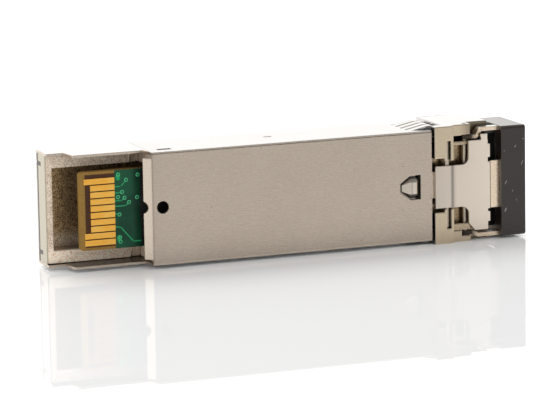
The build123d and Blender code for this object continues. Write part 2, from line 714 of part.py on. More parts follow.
def contacts(face_from, face_to, long_ones):
    """Makes one row of plated contacts; the ones in long_ones mate first, so they reach further."""
    with BuildPart() as row:
        for i in range(contact_count):
            z = z_mid + contact_row_shift + (i - (contact_count - 1) / 2) * contact_pitch
            start = long_contact_x if i in long_ones else short_contact_x
            block(x0 + start, x0 + contact_end_x, face_from, face_to,
                  z - contact_width / 2, z + contact_width / 2)
    return row


write(contacts(board_y - contact_thickness, board_y, bottom_long_contacts), "bottom_edge_contacts")
write(contacts(board_back_y, board_back_y + contact_thickness, top_long_contacts), "top_edge_contacts")

# Flexible circuits from the leads of each subassembly to the board.
for port_z, name in ((port_high_z, "transmit_flex_circuit"), (port_low_z, "receive_flex_circuit")):
    with BuildPart() as flex:
        half = flex_width / 2
        back_x = can_x - flex_standoff
        block(back_x - flex_thickness, back_x, board_y - flex_thickness, optic_y + flex_reach,
              port_z - half, port_z + half)
        for dy, dz in ((-1, -1), (-1, 1), (1, -1), (1, 1)):
            turned(back_x - flex_thickness, back_x, optic_y + dy * lead_spacing / 2,
                   port_z + dz * lead_spacing / 2, lead_diameter / 2 + lead_hole_gap, Mode.SUBTRACT)
        block(board_far_x - flex_overlap, back_x, board_y - flex_thickness, board_y,
              max(port_z - half, z_mid - board_width / 2), min(port_z + half, z_mid + board_width / 2))
    write(flex, name)

# Chips and small parts on the two faces of the board. Each is a size and a centre on one face.
latch_face_x = -1
label_face_x = 1


def chip(name, side, centre_x, centre_z, length, width, height, edge=0.0):
    """Makes one moulded body on the board: side says which face of the board it stands on."""
    seat = board_back_y if side == label_face_x else board_y
    low, high = sorted((seat, seat + side * height))
    with BuildPart() as body:
        block(centre_x - length / 2, centre_x + length / 2, low, high,
              centre_z - width / 2, centre_z + width / 2)
        if edge:
            chamfer(body.faces().sort_by(Axis.Y)[-1 if side > 0 else 0].edges(), edge)
    write(body, name)


chip("laser_driver_chip", label_face_x, pedestal_x, z_mid, driver_size, driver_size, chip_height, chip_edge)
chip("receive_amplifier_chip", latch_face_x, pedestal_x, z_mid, amplifier_size, amplifier_size,
     chip_height, chip_edge)
chip("controller_chip", latch_face_x, controller_x, z_mid, controller_size, controller_size,
     chip_height, chip_edge)
chip("memory_chip", label_face_x, controller_x, z_mid, memory_length, memory_width, memory_height, chip_edge)

with BuildPart() as thermal_pad:
    half = driver_size / 2
    block(pedestal_x - half, pedestal_x + half, board_back_y + chip_height, pedestal_y,
          z_mid - half, z_mid + half)
write(thermal_pad, "thermal_pad")

row_z = board_width / 2 - passive_inset
with BuildPart() as capacitors:
    first_x = controller_x + controller_size / 2 + passive_inset
    with Locations((first_x, board_y - capacitor_height / 2, z_mid)):
        for column in range(capacitor_columns):
            with Locations((column * capacitor_pitch, 0, -row_z), (column * capacitor_pitch, 0, row_z)):
                Box(capacitor_length / 2, capacitor_height, capacitor_length)
write(capacitors, "chip_capacitors")

with BuildPart() as inductors:
    with Locations((pedestal_x, board_y - inductor_height / 2, z_mid - row_z),
                   (pedestal_x, board_y - inductor_height / 2, z_mid + row_z)):
        Box(inductor_length, inductor_height, inductor_length / 2)
write(inductors, "filter_inductors")

# Latch spring: a small coil between the port block and the rocker's tail.
coil_radius = (latch_coil_diameter - latch_wire) / 2
coil_low = tail_y + tail_thickness + latch_wire / 2
coil_high = y0 + receptacle_floor_y - latch_wire / 2
with BuildPart() as latch_spring:
    with BuildLine() as path:
        Helix(pitch=(coil_high - coil_low) / latch_coil_turns, height=coil_high - coil_low,
              radius=coil_radius, center=(x0 + latch_coil_x, coil_low, z_mid), direction=(0, 1, 0))
    with BuildSketch(Plane(origin=path.line @ 0, z_dir=path.line % 0)):
        Circle(latch_wire / 2)
    sweep(path=path.line, is_frenet=True)
write(latch_spring, "latch_spring")

# Blank label in the recess of the label side.
with BuildPart() as label:
    seat_y = label_y - label_recess
    block(label_from_x + label_edge_gap, label_to_x - label_edge_gap, seat_y, seat_y + label_thickness,
          label_low_z + label_edge_gap, label_high_z - label_edge_gap)
    fillet(label.edges().filter_by(Axis.Y), label_corner)
write(label, "blank_label")
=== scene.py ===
import bpy
import bmesh
import math
from mathutils import Vector, Matrix


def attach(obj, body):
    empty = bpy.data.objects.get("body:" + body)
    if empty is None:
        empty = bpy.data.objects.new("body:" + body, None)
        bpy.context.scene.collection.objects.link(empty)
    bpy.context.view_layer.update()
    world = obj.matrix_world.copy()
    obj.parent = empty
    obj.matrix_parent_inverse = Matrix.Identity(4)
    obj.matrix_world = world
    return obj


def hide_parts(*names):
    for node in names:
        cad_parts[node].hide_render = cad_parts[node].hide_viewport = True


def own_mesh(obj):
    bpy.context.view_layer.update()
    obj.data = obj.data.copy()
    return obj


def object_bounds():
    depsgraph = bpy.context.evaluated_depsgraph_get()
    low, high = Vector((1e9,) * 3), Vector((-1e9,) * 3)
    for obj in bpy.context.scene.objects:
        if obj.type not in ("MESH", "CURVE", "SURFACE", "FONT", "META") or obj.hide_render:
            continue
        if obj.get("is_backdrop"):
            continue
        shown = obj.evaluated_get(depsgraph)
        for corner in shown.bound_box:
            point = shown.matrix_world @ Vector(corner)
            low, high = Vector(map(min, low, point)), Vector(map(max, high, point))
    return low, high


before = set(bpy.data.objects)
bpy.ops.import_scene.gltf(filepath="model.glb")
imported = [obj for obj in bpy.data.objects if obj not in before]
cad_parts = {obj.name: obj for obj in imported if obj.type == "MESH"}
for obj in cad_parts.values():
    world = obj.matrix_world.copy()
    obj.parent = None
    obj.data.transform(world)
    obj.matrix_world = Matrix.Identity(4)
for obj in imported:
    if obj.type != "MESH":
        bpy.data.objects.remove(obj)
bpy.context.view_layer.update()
scene = bpy.context.scene

# The view: a long lens a good arm's length away, a little to the host plug end of the latch side
# and slightly above. The module stands on one long narrow side.
MM = 0.001
MODULE_LENGTH = 58.85
MODULE_HEIGHT = 8.5
MODULE_WIDTH = 13.4
SPRING_RISE = 0.4
BOSS_HEIGHT = 0.45
REAR_X = -MODULE_LENGTH / 2 * MM
BOTTOM_Y = (-(MODULE_HEIGHT + SPRING_RISE + BOSS_HEIGHT) / 2 + BOSS_HEIGHT) * MM
LOW_Z = SPRING_RISE * MM
MID_ACROSS = MODULE_WIDTH / 2


def at(length, depth, across):
    """A point given in millimetres from the rear end, the latch face and the lower narrow side."""
    return Vector((REAR_X + length * MM, BOTTOM_Y + depth * MM, LOW_Z + across * MM))


VIEW_AZIMUTH = math.radians(-21.26)
VIEW_ELEVATION = math.radians(9.99)
VIEW_ROLL = math.radians(-0.968)
VIEW_DISTANCE = 415.08 * MM
SENSOR_WIDTH = 36
IMAGE_WIDTH = 560
FOCAL_PIXELS = 3505.5
AIM = at(28.0, 4.0, 6.7)
AIM_PIXEL_OFFSET = (-5.67, -12.93)

toward_camera = Vector((math.sin(VIEW_AZIMUTH) * math.cos(VIEW_ELEVATION),
                        -math.cos(VIEW_AZIMUTH) * math.cos(VIEW_ELEVATION),
                        math.sin(VIEW_ELEVATION)))
camera_data = bpy.data.cameras.new("camera")
camera_data.sensor_width = SENSOR_WIDTH
camera_data.lens = FOCAL_PIXELS * SENSOR_WIDTH / IMAGE_WIDTH
camera_data.shift_x = -AIM_PIXEL_OFFSET[0] / IMAGE_WIDTH
camera_data.shift_y = AIM_PIXEL_OFFSET[1] / IMAGE_WIDTH
camera_data.clip_start = 0.02
camera_data.clip_end = 20
camera = bpy.data.objects.new("camera", camera_data)
scene.collection.objects.link(camera)
forward = -toward_camera
right = forward.cross(Vector((0, 0, 1))).normalized()
up = right.cross(forward)
rolled_right = math.cos(VIEW_ROLL) * right + math.sin(VIEW_ROLL) * up
rolled_up = -math.sin(VIEW_ROLL) * right + math.cos(VIEW_ROLL) * up
camera.matrix_world = Matrix.Translation(AIM + toward_camera * VIEW_DISTANCE) @ Matrix((
    (rolled_right.x, rolled_up.x, -forward.x, 0),
    (rolled_right.y, rolled_up.y, -forward.y, 0),
    (rolled_right.z, rolled_up.z, -forward.z, 0),
    (0, 0, 0, 1)))
scene.camera = camera
scene.view_settings.view_transform = "Standard"


# Light and floor: a white tent round a table of glossy white acrylic, open and dark on the side
# that the photographer works from, with one soft lamp above and behind. Polished metal shows the
# dark opening as thin lines along its edges, and the acrylic shows the module upside down.
def colour(hex_text):
    """Turns an sRGB hex colour into the linear colour that a shader takes."""
    channels = [int(hex_text[i:i + 2], 16) / 255 for i in (0, 2, 4)]
    linear = [c / 12.92 if c <= 0.04045 else ((c + 0.055) / 1.055) ** 2.4 for c in channels]
    return (*linear, 1.0)


def node(tree, kind, settings=None, **inputs):
    """Adds a shader node with its own settings. An input is a value, a socket, or a node, which is
    linked by its first output. An input that has no name of its own goes by its number, as in i6."""
    made = tree.nodes.new("ShaderNode" + kind)
    for name, value in (settings or {}).items():
        setattr(made, name, value)
    for name, value in inputs.items():
        socket = made.inputs[int(name[1:]) if name[1:].isdigit() else name.replace("_", " ")]
        if isinstance(value, bpy.types.Node):
            value = next(output for output in value.outputs if output.enabled)
        if isinstance(value, bpy.types.NodeSocket):
            tree.links.new(value, socket)
        else:
            socket.default_value = value
    return made


def new_material(name):
    """Makes an empty node material and returns it with its tree."""
    material = bpy.data.materials.new(name)
    material.use_nodes = True
    material.node_tree.nodes.clear()
    return material, material.node_tree


# Settings that many nodes share: a soft change from one value to another, and a product.
SMOOTH = {"interpolation_type": "SMOOTHSTEP"}
TIMES = {"operation": "MULTIPLY"}
world = bpy.data.worlds.new("white_tent")
world.use_nodes = True
scene.world = world
sky = world.node_tree
sky.nodes.clear()
toward = node(sky, "SeparateXYZ", Vector=node(sky, "TexCoord").outputs["Generated"])
ahead = node(sky, "MapRange", SMOOTH, Value=toward.outputs["Y"], From_Min=-0.45, From_Max=-0.75)
above_table = node(sky, "MapRange", SMOOTH, Value=toward.outputs["Z"], From_Min=-0.02, From_Max=0.08)
below_flap = node(sky, "MapRange", SMOOTH, Value=toward.outputs["Z"], From_Min=0.62, From_Max=0.42)
window = node(sky, "Math", TIMES, i0=above_table, i1=below_flap)
gap = node(sky, "Math", TIMES, i0=window, i1=ahead)
opening = node(sky, "MapRange", Value=gap, To_Min=1.0, To_Max=0.05)
roof = node(sky, "MapRange", SMOOTH, Value=toward.outputs["Z"], From_Min=0.55, From_Max=0.95, To_Min=1.0,
            To_Max=0.45)
backdrop = node(sky, "MapRange", SMOOTH, Value=toward.outputs["Y"], From_Min=0.1, From_Max=0.8, To_Min=1.0,
                To_Max=1.45)
walls = node(sky, "Math", TIMES, i0=opening, i1=roof)
lining = node(sky, "Math", TIMES, i0=walls, i1=backdrop)
height = node(sky, "MapRange", Value=toward.outputs["Z"], From_Min=-0.2, From_Max=1.0, To_Min=0.86,
              To_Max=1.02)
rays = node(sky, "LightPath")
diffuse_light = node(sky, "Background", Color=colour("FFFFFF"), Strength=height)
gloss_light = node(sky, "Background", Color=colour("FFFDFA"), Strength=lining)
white_behind = node(sky, "Background", Color=colour("FFFFFF"), Strength=1.0)
tent = node(sky, "MixShader", i0=rays.outputs["Is Glossy Ray"], i1=diffuse_light, i2=gloss_light)
shown = node(sky, "MixShader", i0=rays.outputs["Is Camera Ray"], i1=tent, i2=white_behind)
node(sky, "OutputWorld", Surface=shown)

LAMP_SIZE = (0.36, 0.24)
LAMP_PLACE = (-0.05, 0.22, 0.34)
LAMP_POWER = 0.55
lamp_data = bpy.data.lights.new("soft_lamp", "AREA")
lamp_data.shape = "RECTANGLE"
lamp_data.size, lamp_data.size_y = LAMP_SIZE
lamp_data.energy = LAMP_POWER
lamp = bpy.data.objects.new("soft_lamp", lamp_data)
lamp.location = LAMP_PLACE
lamp.rotation_mode = "QUATERNION"
lamp.rotation_quaternion = (-lamp.location).to_track_quat("-Z", "Y")
scene.collection.objects.link(lamp)

FLOOR_SIZE = 1.2
floor_mesh = bpy.data.meshes.new("acrylic_floor")
half = FLOOR_SIZE / 2
floor_corners = [(-half, -half, 0), (half, -half, 0), (half, half, 0), (-half, half, 0)]
floor_mesh.from_pydata(floor_corners, [], [(0, 1, 2, 3)])
floor = bpy.data.objects.new("acrylic_floor", floor_mesh)
scene.collection.objects.link(floor)
floor_material, tree = new_material("white_acrylic_floor")
acrylic = node(tree, "BsdfPrincipled", Base_Color=colour("FFFFFF"), Roughness=0.01, IOR=1.6)
milky = node(tree, "BsdfDiffuse", Color=colour("FFFFFF"))
sheet = node(tree, "MixShader", i0=0.16, i1=acrylic, i2=milky)
node(tree, "OutputMaterial", Surface=sheet)
floor_mesh.materials.append(floor_material)
floor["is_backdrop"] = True


# Bottom cover: cold-rolled steel sheet, stamped, folded and then nickel plated. The rolling leaves
# very fine strokes along the sheet, handling leaves pin-head dents, and the plating is a warm satin
# grey. Real strokes are finer than the render shows, so they are drawn about 0.1 mm apart.
CREVICE_MM = 0.35
CREVICE_SHADE_TONE = "1C140E"
SIDE_LIGHT_TONE = "C6C5C4"
# The setting that makes a mix node blend colours.
COLOURS = {"data_type": "RGBA"}


def painted_crevice_shade(tree, skin):
    """Paints shade into a skin colour: darkens it in narrow gaps and inner corners, where little light
    reaches.
    """
    shelter = node(tree, "AmbientOcclusion", {"samples": 8}, Distance=CREVICE_MM * MM)
    open_air = node(tree, "MapRange", SMOOTH, Value=shelter.outputs["AO"], From_Min=0.12, From_Max=0.72)
    return node(tree, "Mix", COLOURS, i0=open_air, i6=colour(CREVICE_SHADE_TONE), i7=skin)


def painted_light_on_sides(tree, skin):
    """Paints light into a skin colour: makes it paler on faces turned to the narrow sides, as if lit
    brighter.
    """
    turned_to = node(tree, "SeparateXYZ", Vector=node(tree, "NewGeometry").outputs["Normal"])
    sideways = node(tree, "Math", {"operation": "ABSOLUTE"}, i0=turned_to.outputs["Z"])
    rubbed = node(tree, "MapRange", SMOOTH, Value=sideways, From_Min=0.6, From_Max=0.95)
    return node(tree, "Mix", COLOURS, i0=rubbed, i6=skin, i7=colour(SIDE_LIGHT_TONE))


# How far off the module's middle, in mm, a face that looks inward begins to take painted shade and wholly
# does.
INNER_WALL_MM = (3.0, 5.0)


def shade_inside(tree, skin, tone):
    """Paints shade on the faces that look inward across the module, giving them a dark tone."""
    turned_to = node(tree, "SeparateXYZ", Vector=node(tree, "NewGeometry").outputs["Normal"])
    spot = node(tree, "SeparateXYZ", Vector=node(tree, "TexCoord").outputs["Object"])
    off_middle = node(tree, "Math", {"operation": "SUBTRACT"}, i0=spot.outputs["Z"],
                      i1=LOW_Z + MID_ACROSS * MM)
    outward = node(tree, "Math", TIMES, i0=off_middle, i1=turned_to.outputs["Z"])
    inward = node(tree, "MapRange", SMOOTH, Value=outward, From_Min=-INNER_WALL_MM[0] * MM,
                  From_Max=-INNER_WALL_MM[1] * MM)
    return node(tree, "Mix", COLOURS, i0=inward, i6=skin, i7=colour(tone))


# A colour ramp holds 0 to 1, so a brightness is divided by this for it and multiplied after it.
BRIGHTEST = 2.0


def shaded_along(tree, skin, levels):
    """Scales a skin colour along the module: levels are pairs of a place in mm and a brightness."""
    first, last = levels[0][0], levels[-1][0]
    spot = node(tree, "SeparateXYZ", Vector=node(tree, "TexCoord").outputs["Object"])
    share = node(tree, "MapRange", Value=spot.outputs["X"], From_Min=REAR_X + first * MM,
                 From_Max=REAR_X + last * MM)
    ramp = node(tree, "ValToRGB", Fac=share)
    stops = ramp.color_ramp.elements
    for place, _ in levels[1:-1]:
        stops.new((place - first) / (last - first))
    for stop, (_, brightness) in zip(stops, levels):
        stop.color = (brightness / BRIGHTEST, brightness / BRIGHTEST, brightness / BRIGHTEST, 1.0)
    level = node(tree, "Math", TIMES, i0=ramp, i1=BRIGHTEST)
    return node(tree, "HueSaturation", Color=skin, Value=level)


CLOUD_MM = 7.0
DENT_DEPTH_MM = 0.01
FOLD_RADIUS_MM = 0.1
DENT_TONE = "6E6456"


def nickel_sheet(name, tone, roughness, stroke_mm, stroke_depth_mm, dent_mm=0.9, levels=(), inner_shade_tone=None,
                 edge_shade=None):
    """Nickel-plated rolled sheet: satin grey with fine strokes along the module and sparse dents, and
    painted light and shade.
    """
    material, tree = new_material(name)
    place = node(tree, "TexCoord").outputs["Object"]
    stretched = node(tree, "Mapping", Vector=place, Scale=(0.05, 1.0, 1.0))
    strokes = node(tree, "TexNoise", Vector=stretched, Scale=1 / (stroke_mm * MM), Detail=4.0,
                   Roughness=0.6)
    clouds = node(tree, "TexNoise", Vector=place, Scale=1 / (CLOUD_MM * MM), Detail=2.0)
    pits = node(tree, "TexVoronoi", Vector=place, Scale=1 / (dent_mm * MM), Randomness=1.0)
    pit = node(tree, "MapRange", SMOOTH, Value=pits, From_Min=0.03, From_Max=0.10)
    chosen = node(tree, "SeparateColor", Color=pits.outputs["Color"])
    rare = node(tree, "Math", {"operation": "LESS_THAN"}, i0=chosen.outputs["Red"], i1=0.88)
    skin_level = node(tree, "Math", {"operation": "MAXIMUM"}, i0=pit, i1=rare)
    light = node(tree, "HueSaturation", Color=colour(tone), Value=1.05)
    dark = node(tree, "HueSaturation", Color=colour(tone), Value=0.95, Saturation=1.08)
    cloudy = node(tree, "Mix", COLOURS, i0=clouds, i6=dark, i7=light)
    streaky = node(tree, "MapRange", Value=strokes, To_Min=0.985, To_Max=1.015)
    streaked = node(tree, "HueSaturation", Color=cloudy, Value=streaky)
    pitted = node(tree, "Mix", COLOURS, i0=skin_level, i6=colour(DENT_TONE), i7=streaked)
    skin = painted_light_on_sides(tree, pitted)
    if levels:
        skin = shaded_along(tree, skin, levels)
    if inner_shade_tone:
        skin = shade_inside(tree, skin, inner_shade_tone)
    skin = painted_crevice_shade(tree, skin)
    if edge_shade:
        skin = edge_shade(tree, skin)
    rough = node(tree, "MapRange", Value=strokes, To_Min=roughness * 0.85, To_Max=roughness * 1.15)
    softened = node(tree, "Bevel", {"samples": 6}, Radius=FOLD_RADIUS_MM * MM)
    dented = node(tree, "Bump", Strength=0.5, Distance=DENT_DEPTH_MM * MM, Height=skin_level,
                  Normal=softened)
    relief = node(tree, "Bump", Strength=1.0, Distance=stroke_depth_mm * MM, Height=strokes, Normal=dented)
    metal = node(tree, "BsdfPrincipled", Metallic=1.0, Base_Color=skin, Roughness=rough, Normal=relief)
    node(tree, "OutputMaterial", Surface=metal)
    return material


def dress(node_name, material, edge_mm=0.0, edge_material=None):
    """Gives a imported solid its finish, and breaks its sharp edges with a small worn radius."""
    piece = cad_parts[node_name]
    piece.data.materials.clear()
    piece.data.materials.append(material)
    if edge_material:
        piece.data.materials.append(edge_material)
    if edge_mm:
        edges = piece.modifiers.new("worn_edges", "BEVEL")
        edges.width = edge_mm * MM
        edges.segments = 2
        edges.limit_method = "ANGLE"
        edges.angle_limit = math.radians(30)
        edges.material = 1 if edge_material else -1


# Place along the module in mm and brightness: painted light makes the guide ramp lighter, and a painted
# dark line of shade lies where the ramp meets the plate.
COVER_LEVELS = ((9.0, 1.06), (11.22, 1.06), (11.34, 0.62), (11.5, 0.97), (13.0, 1.0), (47.0, 1.02))
cover_nickel = nickel_sheet("nickel_plated_rolled_sheet", "C8BBAD", roughness=0.27, stroke_mm=0.10,
                            stroke_depth_mm=0.00016, levels=COVER_LEVELS, inner_shade_tone="3A2C1E")
cover_edge = nickel_sheet("nickel_plated_sheared_edge", "BDB3A6", roughness=0.2, stroke_mm=0.08,
                          stroke_depth_mm=0.0004)
dress("bottom_cover", cover_nickel, edge_mm=0.035, edge_material=cover_edge)


# Die-cast housing: zinc alloy shot into a steel die and nickel plated. The outer faces are tumbled
# smooth. Inside the plug end the skin keeps the sand-like grain of the worn die, with darker
# hollows and bright peaks, and a thin flash stands up where the two die halves met.
GRAIN_MM = 0.13
GRAIN_HEIGHT_MM = 0.045
LUMP_MM = 0.55
LUMP_HEIGHT_MM = 0.03
TUMBLED_EDGE_MM = 0.22
POCKET_DEPTH = 5.0
# Where each part of the casting begins and is wholly reached: an axis and two places in mm, along
# the module (X), from the latch face (Y) and from the lower narrow side (Z).
LATCH_SIDE = ("Y", 8.15, 7.95)
PLUG_END = (LATCH_SIDE, ("X", 0.02, 0.25), ("X", 44.0, 40.0), ("Z", 0.32, 0.45),
            ("Z", MODULE_WIDTH - 0.32, MODULE_WIDTH - 0.45))
POCKET = ("Y", POCKET_DEPTH + 0.15, POCKET_DEPTH + 1.4)
LOWER_RIM = ("Z", 3.0, 1.5)
LOWER_POCKET = ("Z", 4.2, 2.0)
PAST_SHOULDER = ("X", 44.0, 45.0)
NOSE_POCKET = (LATCH_SIDE, ("X", 46.0, 48.0), ("X", 53.9, 53.5), ("Y", 0.05, 0.6), ("Z", 0.75, 0.95),
               ("Z", MODULE_WIDTH - 0.75, MODULE_WIDTH - 0.95))
CHEEK_SHADE_ZONE = (("X", 50.2, 52.4), ("Z", 11.2, 11.4))
UNDER_FINGERS = (("X", 43.4, 43.6), ("X", 47.0, 46.8))
NOTCH_START = ("Y", 6.5, 6.7)
LABEL_EDGE = ("Y", 7.7, 8.3)
# The end of the rear face along the module in mm.
REAR_FACE_END = 0.1
# Middle and half width in mm: the seam by its depth, the notches by their place off the middle.
SEAM = (7.85, 0.24)
NOTCH = (5.24, 0.26)
# Place along the module in mm and brightness: painted shade darkens the pocket further from the rear end.
POCKET_SHADE_LEVELS = ((0.0, 1.1), (1.6, 1.05), (3.4, 0.6), (44.0, 0.6))
OUTER_LEVELS = ((-1.0, 0.86), (0.3, 1.0), (59.0, 1.0))


def zone(tree, *limits):
    """Marks the part of a surface that lies past every limit. A limit is an axis with the places in
    mm where it begins and is wholly reached, or a mark that a node already gives."""
    spot = node(tree, "SeparateXYZ", Vector=node(tree, "TexCoord").outputs["Object"])
    zero = {"X": REAR_X, "Y": BOTTOM_Y, "Z": LOW_Z}
    marked = None
    for limit in limits:
        if isinstance(limit, tuple):
            axis, start, end = limit
            limit = node(tree, "MapRange", SMOOTH, Value=spot.outputs[axis],
                         From_Min=zero[axis] + start * MM, From_Max=zero[axis] + end * MM)
        marked = limit if marked is None else node(tree, "Math", TIMES, i0=marked, i1=limit)
    return marked


def nickel_casting(name, low_tone, high_tone, deep_low_tone, deep_high_tone):
    """Nickel-plated zinc casting: smooth outside, sand-like grain that is darker in the pocket, partly by
    painted shade.
    """
    material, tree = new_material(name)
    place = node(tree, "TexCoord").outputs["Object"]
    spot = node(tree, "SeparateXYZ", Vector=place)
    turned_to = node(tree, "SeparateXYZ", Vector=node(tree, "NewGeometry").outputs["Normal"])
    grain = node(tree, "TexNoise", Vector=place, Scale=1 / (GRAIN_MM * MM), Detail=2.0, Roughness=0.7)
    lumps = node(tree, "TexNoise", Vector=place, Scale=1 / (LUMP_MM * MM), Detail=3.0, Roughness=0.55)
    rough_zone = zone(tree, *PLUG_END)
    deep = zone(tree, POCKET)
    latch_side = zone(tree, LATCH_SIDE)

    # The grain: pale and speckled on the rims, with painted light on the lower rim, and brown in the
    # pocket, where painted light makes the lower wall paler and painted shade darkens it further from the
    # rear end.
    peaks = node(tree, "MapRange", SMOOTH, Value=grain, From_Min=0.33, From_Max=0.58)
    blotch = node(tree, "MapRange", Value=lumps, From_Min=0.3, From_Max=0.7, To_Min=-0.25, To_Max=0.25)
    mottled = node(tree, "Math", {"operation": "ADD", "use_clamp": True}, i0=peaks, i1=blotch)
    near_mix = node(tree, "Mix", COLOURS, i0=mottled, i6=colour(low_tone), i7=colour(high_tone))
    rim_light_level = node(tree, "MapRange", Value=zone(tree, LOWER_RIM), To_Min=0.96, To_Max=1.25)
    near_skin = node(tree, "HueSaturation", Color=near_mix, Value=rim_light_level)
    deep_skin = node(tree, "Mix", COLOURS, i0=mottled, i6=colour(deep_low_tone), i7=colour(deep_high_tone))
    worn = node(tree, "MapRange", Value=zone(tree, LOWER_POCKET), To_Min=0.0, To_Max=0.95)
    deep_lit_below = node(tree, "Mix", COLOURS, i0=worn, i6=deep_skin, i7=near_mix)
    inner_skin = node(tree, "Mix", COLOURS, i0=deep, i6=near_skin,
                      i7=shaded_along(tree, deep_lit_below, POCKET_SHADE_LEVELS))
    # Painted shade: the nose pocket takes a darker, duller copy of the pocket's grain.
    nose_pocket_shade = node(tree, "HueSaturation", Color=deep_skin, Value=0.62, Saturation=0.85)

    # The tumbled outside: an even warm grey, with painted shade in the cheek's hollow and painted light on
    # the narrow sides.
    outer_level = node(tree, "MapRange", Value=lumps, To_Min=0.94, To_Max=1.06)
    outer_skin = node(tree, "HueSaturation", Color=colour("D8C7AD"), Value=outer_level)
    cheek_shade_level = node(tree, "MapRange", Value=zone(tree, *CHEEK_SHADE_ZONE), To_Min=1.0, To_Max=0.42)
    cheek_skin = node(tree, "HueSaturation", Color=shaded_along(tree, outer_skin, OUTER_LEVELS),
                      Value=cheek_shade_level)
    on_rear_face = node(tree, "Math", {"operation": "LESS_THAN"}, i0=spot.outputs["X"],
                        i1=REAR_X + REAR_FACE_END * MM)
    rear_skin = node(tree, "Mix", COLOURS, i0=on_rear_face, i6=cheek_skin, i7=colour("B8B09D"))
    skin = node(tree, "Mix", COLOURS, i0=latch_side, i6=colour("D2CEC8"), i7=painted_light_on_sides(tree, rear_skin))

    # Places with a tone of their own: painted shade in the seam and notches of the rear face, painted light
    # on the shoulder behind the collar, painted shade on the nose's far edge, under the fingers and in the
    # nose pocket, and the plug end.
    in_seam = node(tree, "Math", {"operation": "COMPARE"}, i0=spot.outputs["Y"], i1=BOTTOM_Y + SEAM[0] * MM,
                   i2=SEAM[1] * MM)
    off_middle = node(tree, "Math", {"operation": "SUBTRACT"}, i0=spot.outputs["Z"],
                      i1=LOW_Z + MID_ACROSS * MM)
    off_side = node(tree, "Math", {"operation": "ABSOLUTE"}, i0=off_middle)
    in_notch = node(tree, "Math", {"operation": "COMPARE"}, i0=off_side, i1=NOTCH[0] * MM, i2=NOTCH[1] * MM)
    gap = node(tree, "Math", {"operation": "MAXIMUM"}, i0=in_seam, i1=zone(tree, in_notch, NOTCH_START))
    facing_rear = node(tree, "MapRange", Value=turned_to.outputs["X"], From_Min=-0.5, From_Max=-0.7)
    facing_up = node(tree, "MapRange", Value=turned_to.outputs["Z"], From_Min=0.6, From_Max=0.7)
    for mark, tone in ((zone(tree, on_rear_face, gap), colour("352718")),
                       (zone(tree, facing_rear, PAST_SHOULDER), colour("C9C8C6")),
                       (zone(tree, facing_up, LABEL_EDGE, PAST_SHOULDER), colour("57524B")),
                       (zone(tree, *UNDER_FINGERS), colour("241D16")),
                       (zone(tree, *NOSE_POCKET), nose_pocket_shade),
                       (rough_zone, inner_skin)):
        skin = node(tree, "Mix", COLOURS, i0=mark, i6=skin, i7=tone)

    rough = node(tree, "MapRange", Value=rough_zone, To_Min=0.24, To_Max=0.42)
    strength = node(tree, "MapRange", Value=rough_zone, To_Min=0.12, To_Max=1.0)
    softened = node(tree, "Bevel", {"samples": 6}, Radius=TUMBLED_EDGE_MM * MM)
    lumpy = node(tree, "Bump", Strength=strength, Distance=LUMP_HEIGHT_MM * MM, Height=lumps,
                 Normal=softened)
    relief = node(tree, "Bump", Strength=strength, Distance=GRAIN_HEIGHT_MM * MM, Height=grain,
                  Normal=lumpy)
    # The rough skin of the rims scatters light from all sides, as a surface that is only partly metal.
    bright_metal = node(tree, "MapRange", Value=deep, To_Min=0.05, To_Max=0.9)
    metal_share = node(tree, "Mix", i0=rough_zone, i2=1.0, i3=bright_metal)
    metal = node(tree, "BsdfPrincipled", Metallic=metal_share, Base_Color=painted_crevice_shade(tree, skin),
                 Roughness=rough, Normal=relief)
    node(tree, "OutputMaterial", Surface=metal)
    return material


casting = nickel_casting("nickel_plated_zinc_casting", low_tone="BCA283", high_tone="FFEEDA",
                         deep_low_tone="261A0C", deep_high_tone="EBC897")
dress("die_cast_housing", casting, edge_mm=0.07)

FLASH_LENGTH = 10.32
FLASH_WIDTH = 0.16
FLASH_PROUD = 0.05
FLASH_ACROSS = ((0.36, 1.75), (11.65, 13.04))
RIM_DEPTH = 5.1


def join_rings(bm, rings):
    """Joins each ring of a mesh's points to the ring that follows it with a band of faces."""
    for ring, following in zip(rings, rings[1:]):
        for i in range(len(ring)):
            j = (i + 1) % len(ring)
            bm.faces.new((ring[i], ring[j], following[j], following[i]))


def raise_outline(bm, outline, seat, proud):
    """Adds a flat-topped patch to a mesh: outline in mm along and across, standing on a depth."""
    top = [bm.verts.new(at(length, seat - proud, across)) for length, across in outline]
    foot = [bm.verts.new(at(length, seat, across)) for length, across in outline]
    bm.faces.new(top)
    join_rings(bm, (top, foot))


def finish_mesh(name, bm, material, body, smooth=False):
    """Turns a mesh under construction into a piece that rides on a body."""
    bmesh.ops.recalc_face_normals(bm, faces=bm.faces)
    mesh = bpy.data.meshes.new(name)
    bm.to_mesh(mesh)
    bm.free()
    mesh.materials.append(material)
    piece = bpy.data.objects.new(name, mesh)
    scene.collection.objects.link(piece)
    if smooth:
        mesh.shade_smooth()
    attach(piece, body)
    return piece


flash_mesh = bmesh.new()
flash_start = FLASH_LENGTH - FLASH_WIDTH / 2
flash_end = FLASH_LENGTH + FLASH_WIDTH / 2
for low, high in FLASH_ACROSS:
    outline = [(flash_start, low), (flash_end, low), (flash_end, high), (flash_start, high)]
    raise_outline(flash_mesh, outline, RIM_DEPTH, FLASH_PROUD)
flash_metal = nickel_sheet("nickel_plated_casting_flash", "E2D8C8", roughness=0.25, stroke_mm=0.10,
                           stroke_depth_mm=0.0006)
finish_mesh("casting_flash", flash_mesh, flash_metal, "module")


# Spring finger collar: thin spring sheet, etched into fingers, formed and plated bright. The
# fingers are springy and smooth, so they show the lamp as clean highlights, and painted shade
# darkens them beside the slots, where the gaps between them lie in shadow.
FINGER_PITCH = 1.4
FIRST_SLOT_DEPTH = 2.4
SLOT_SHADE_HALF_WIDTH = 0.34
FINGER_START = 44.3
SLOT_SHADE_TONE = "5C5750"


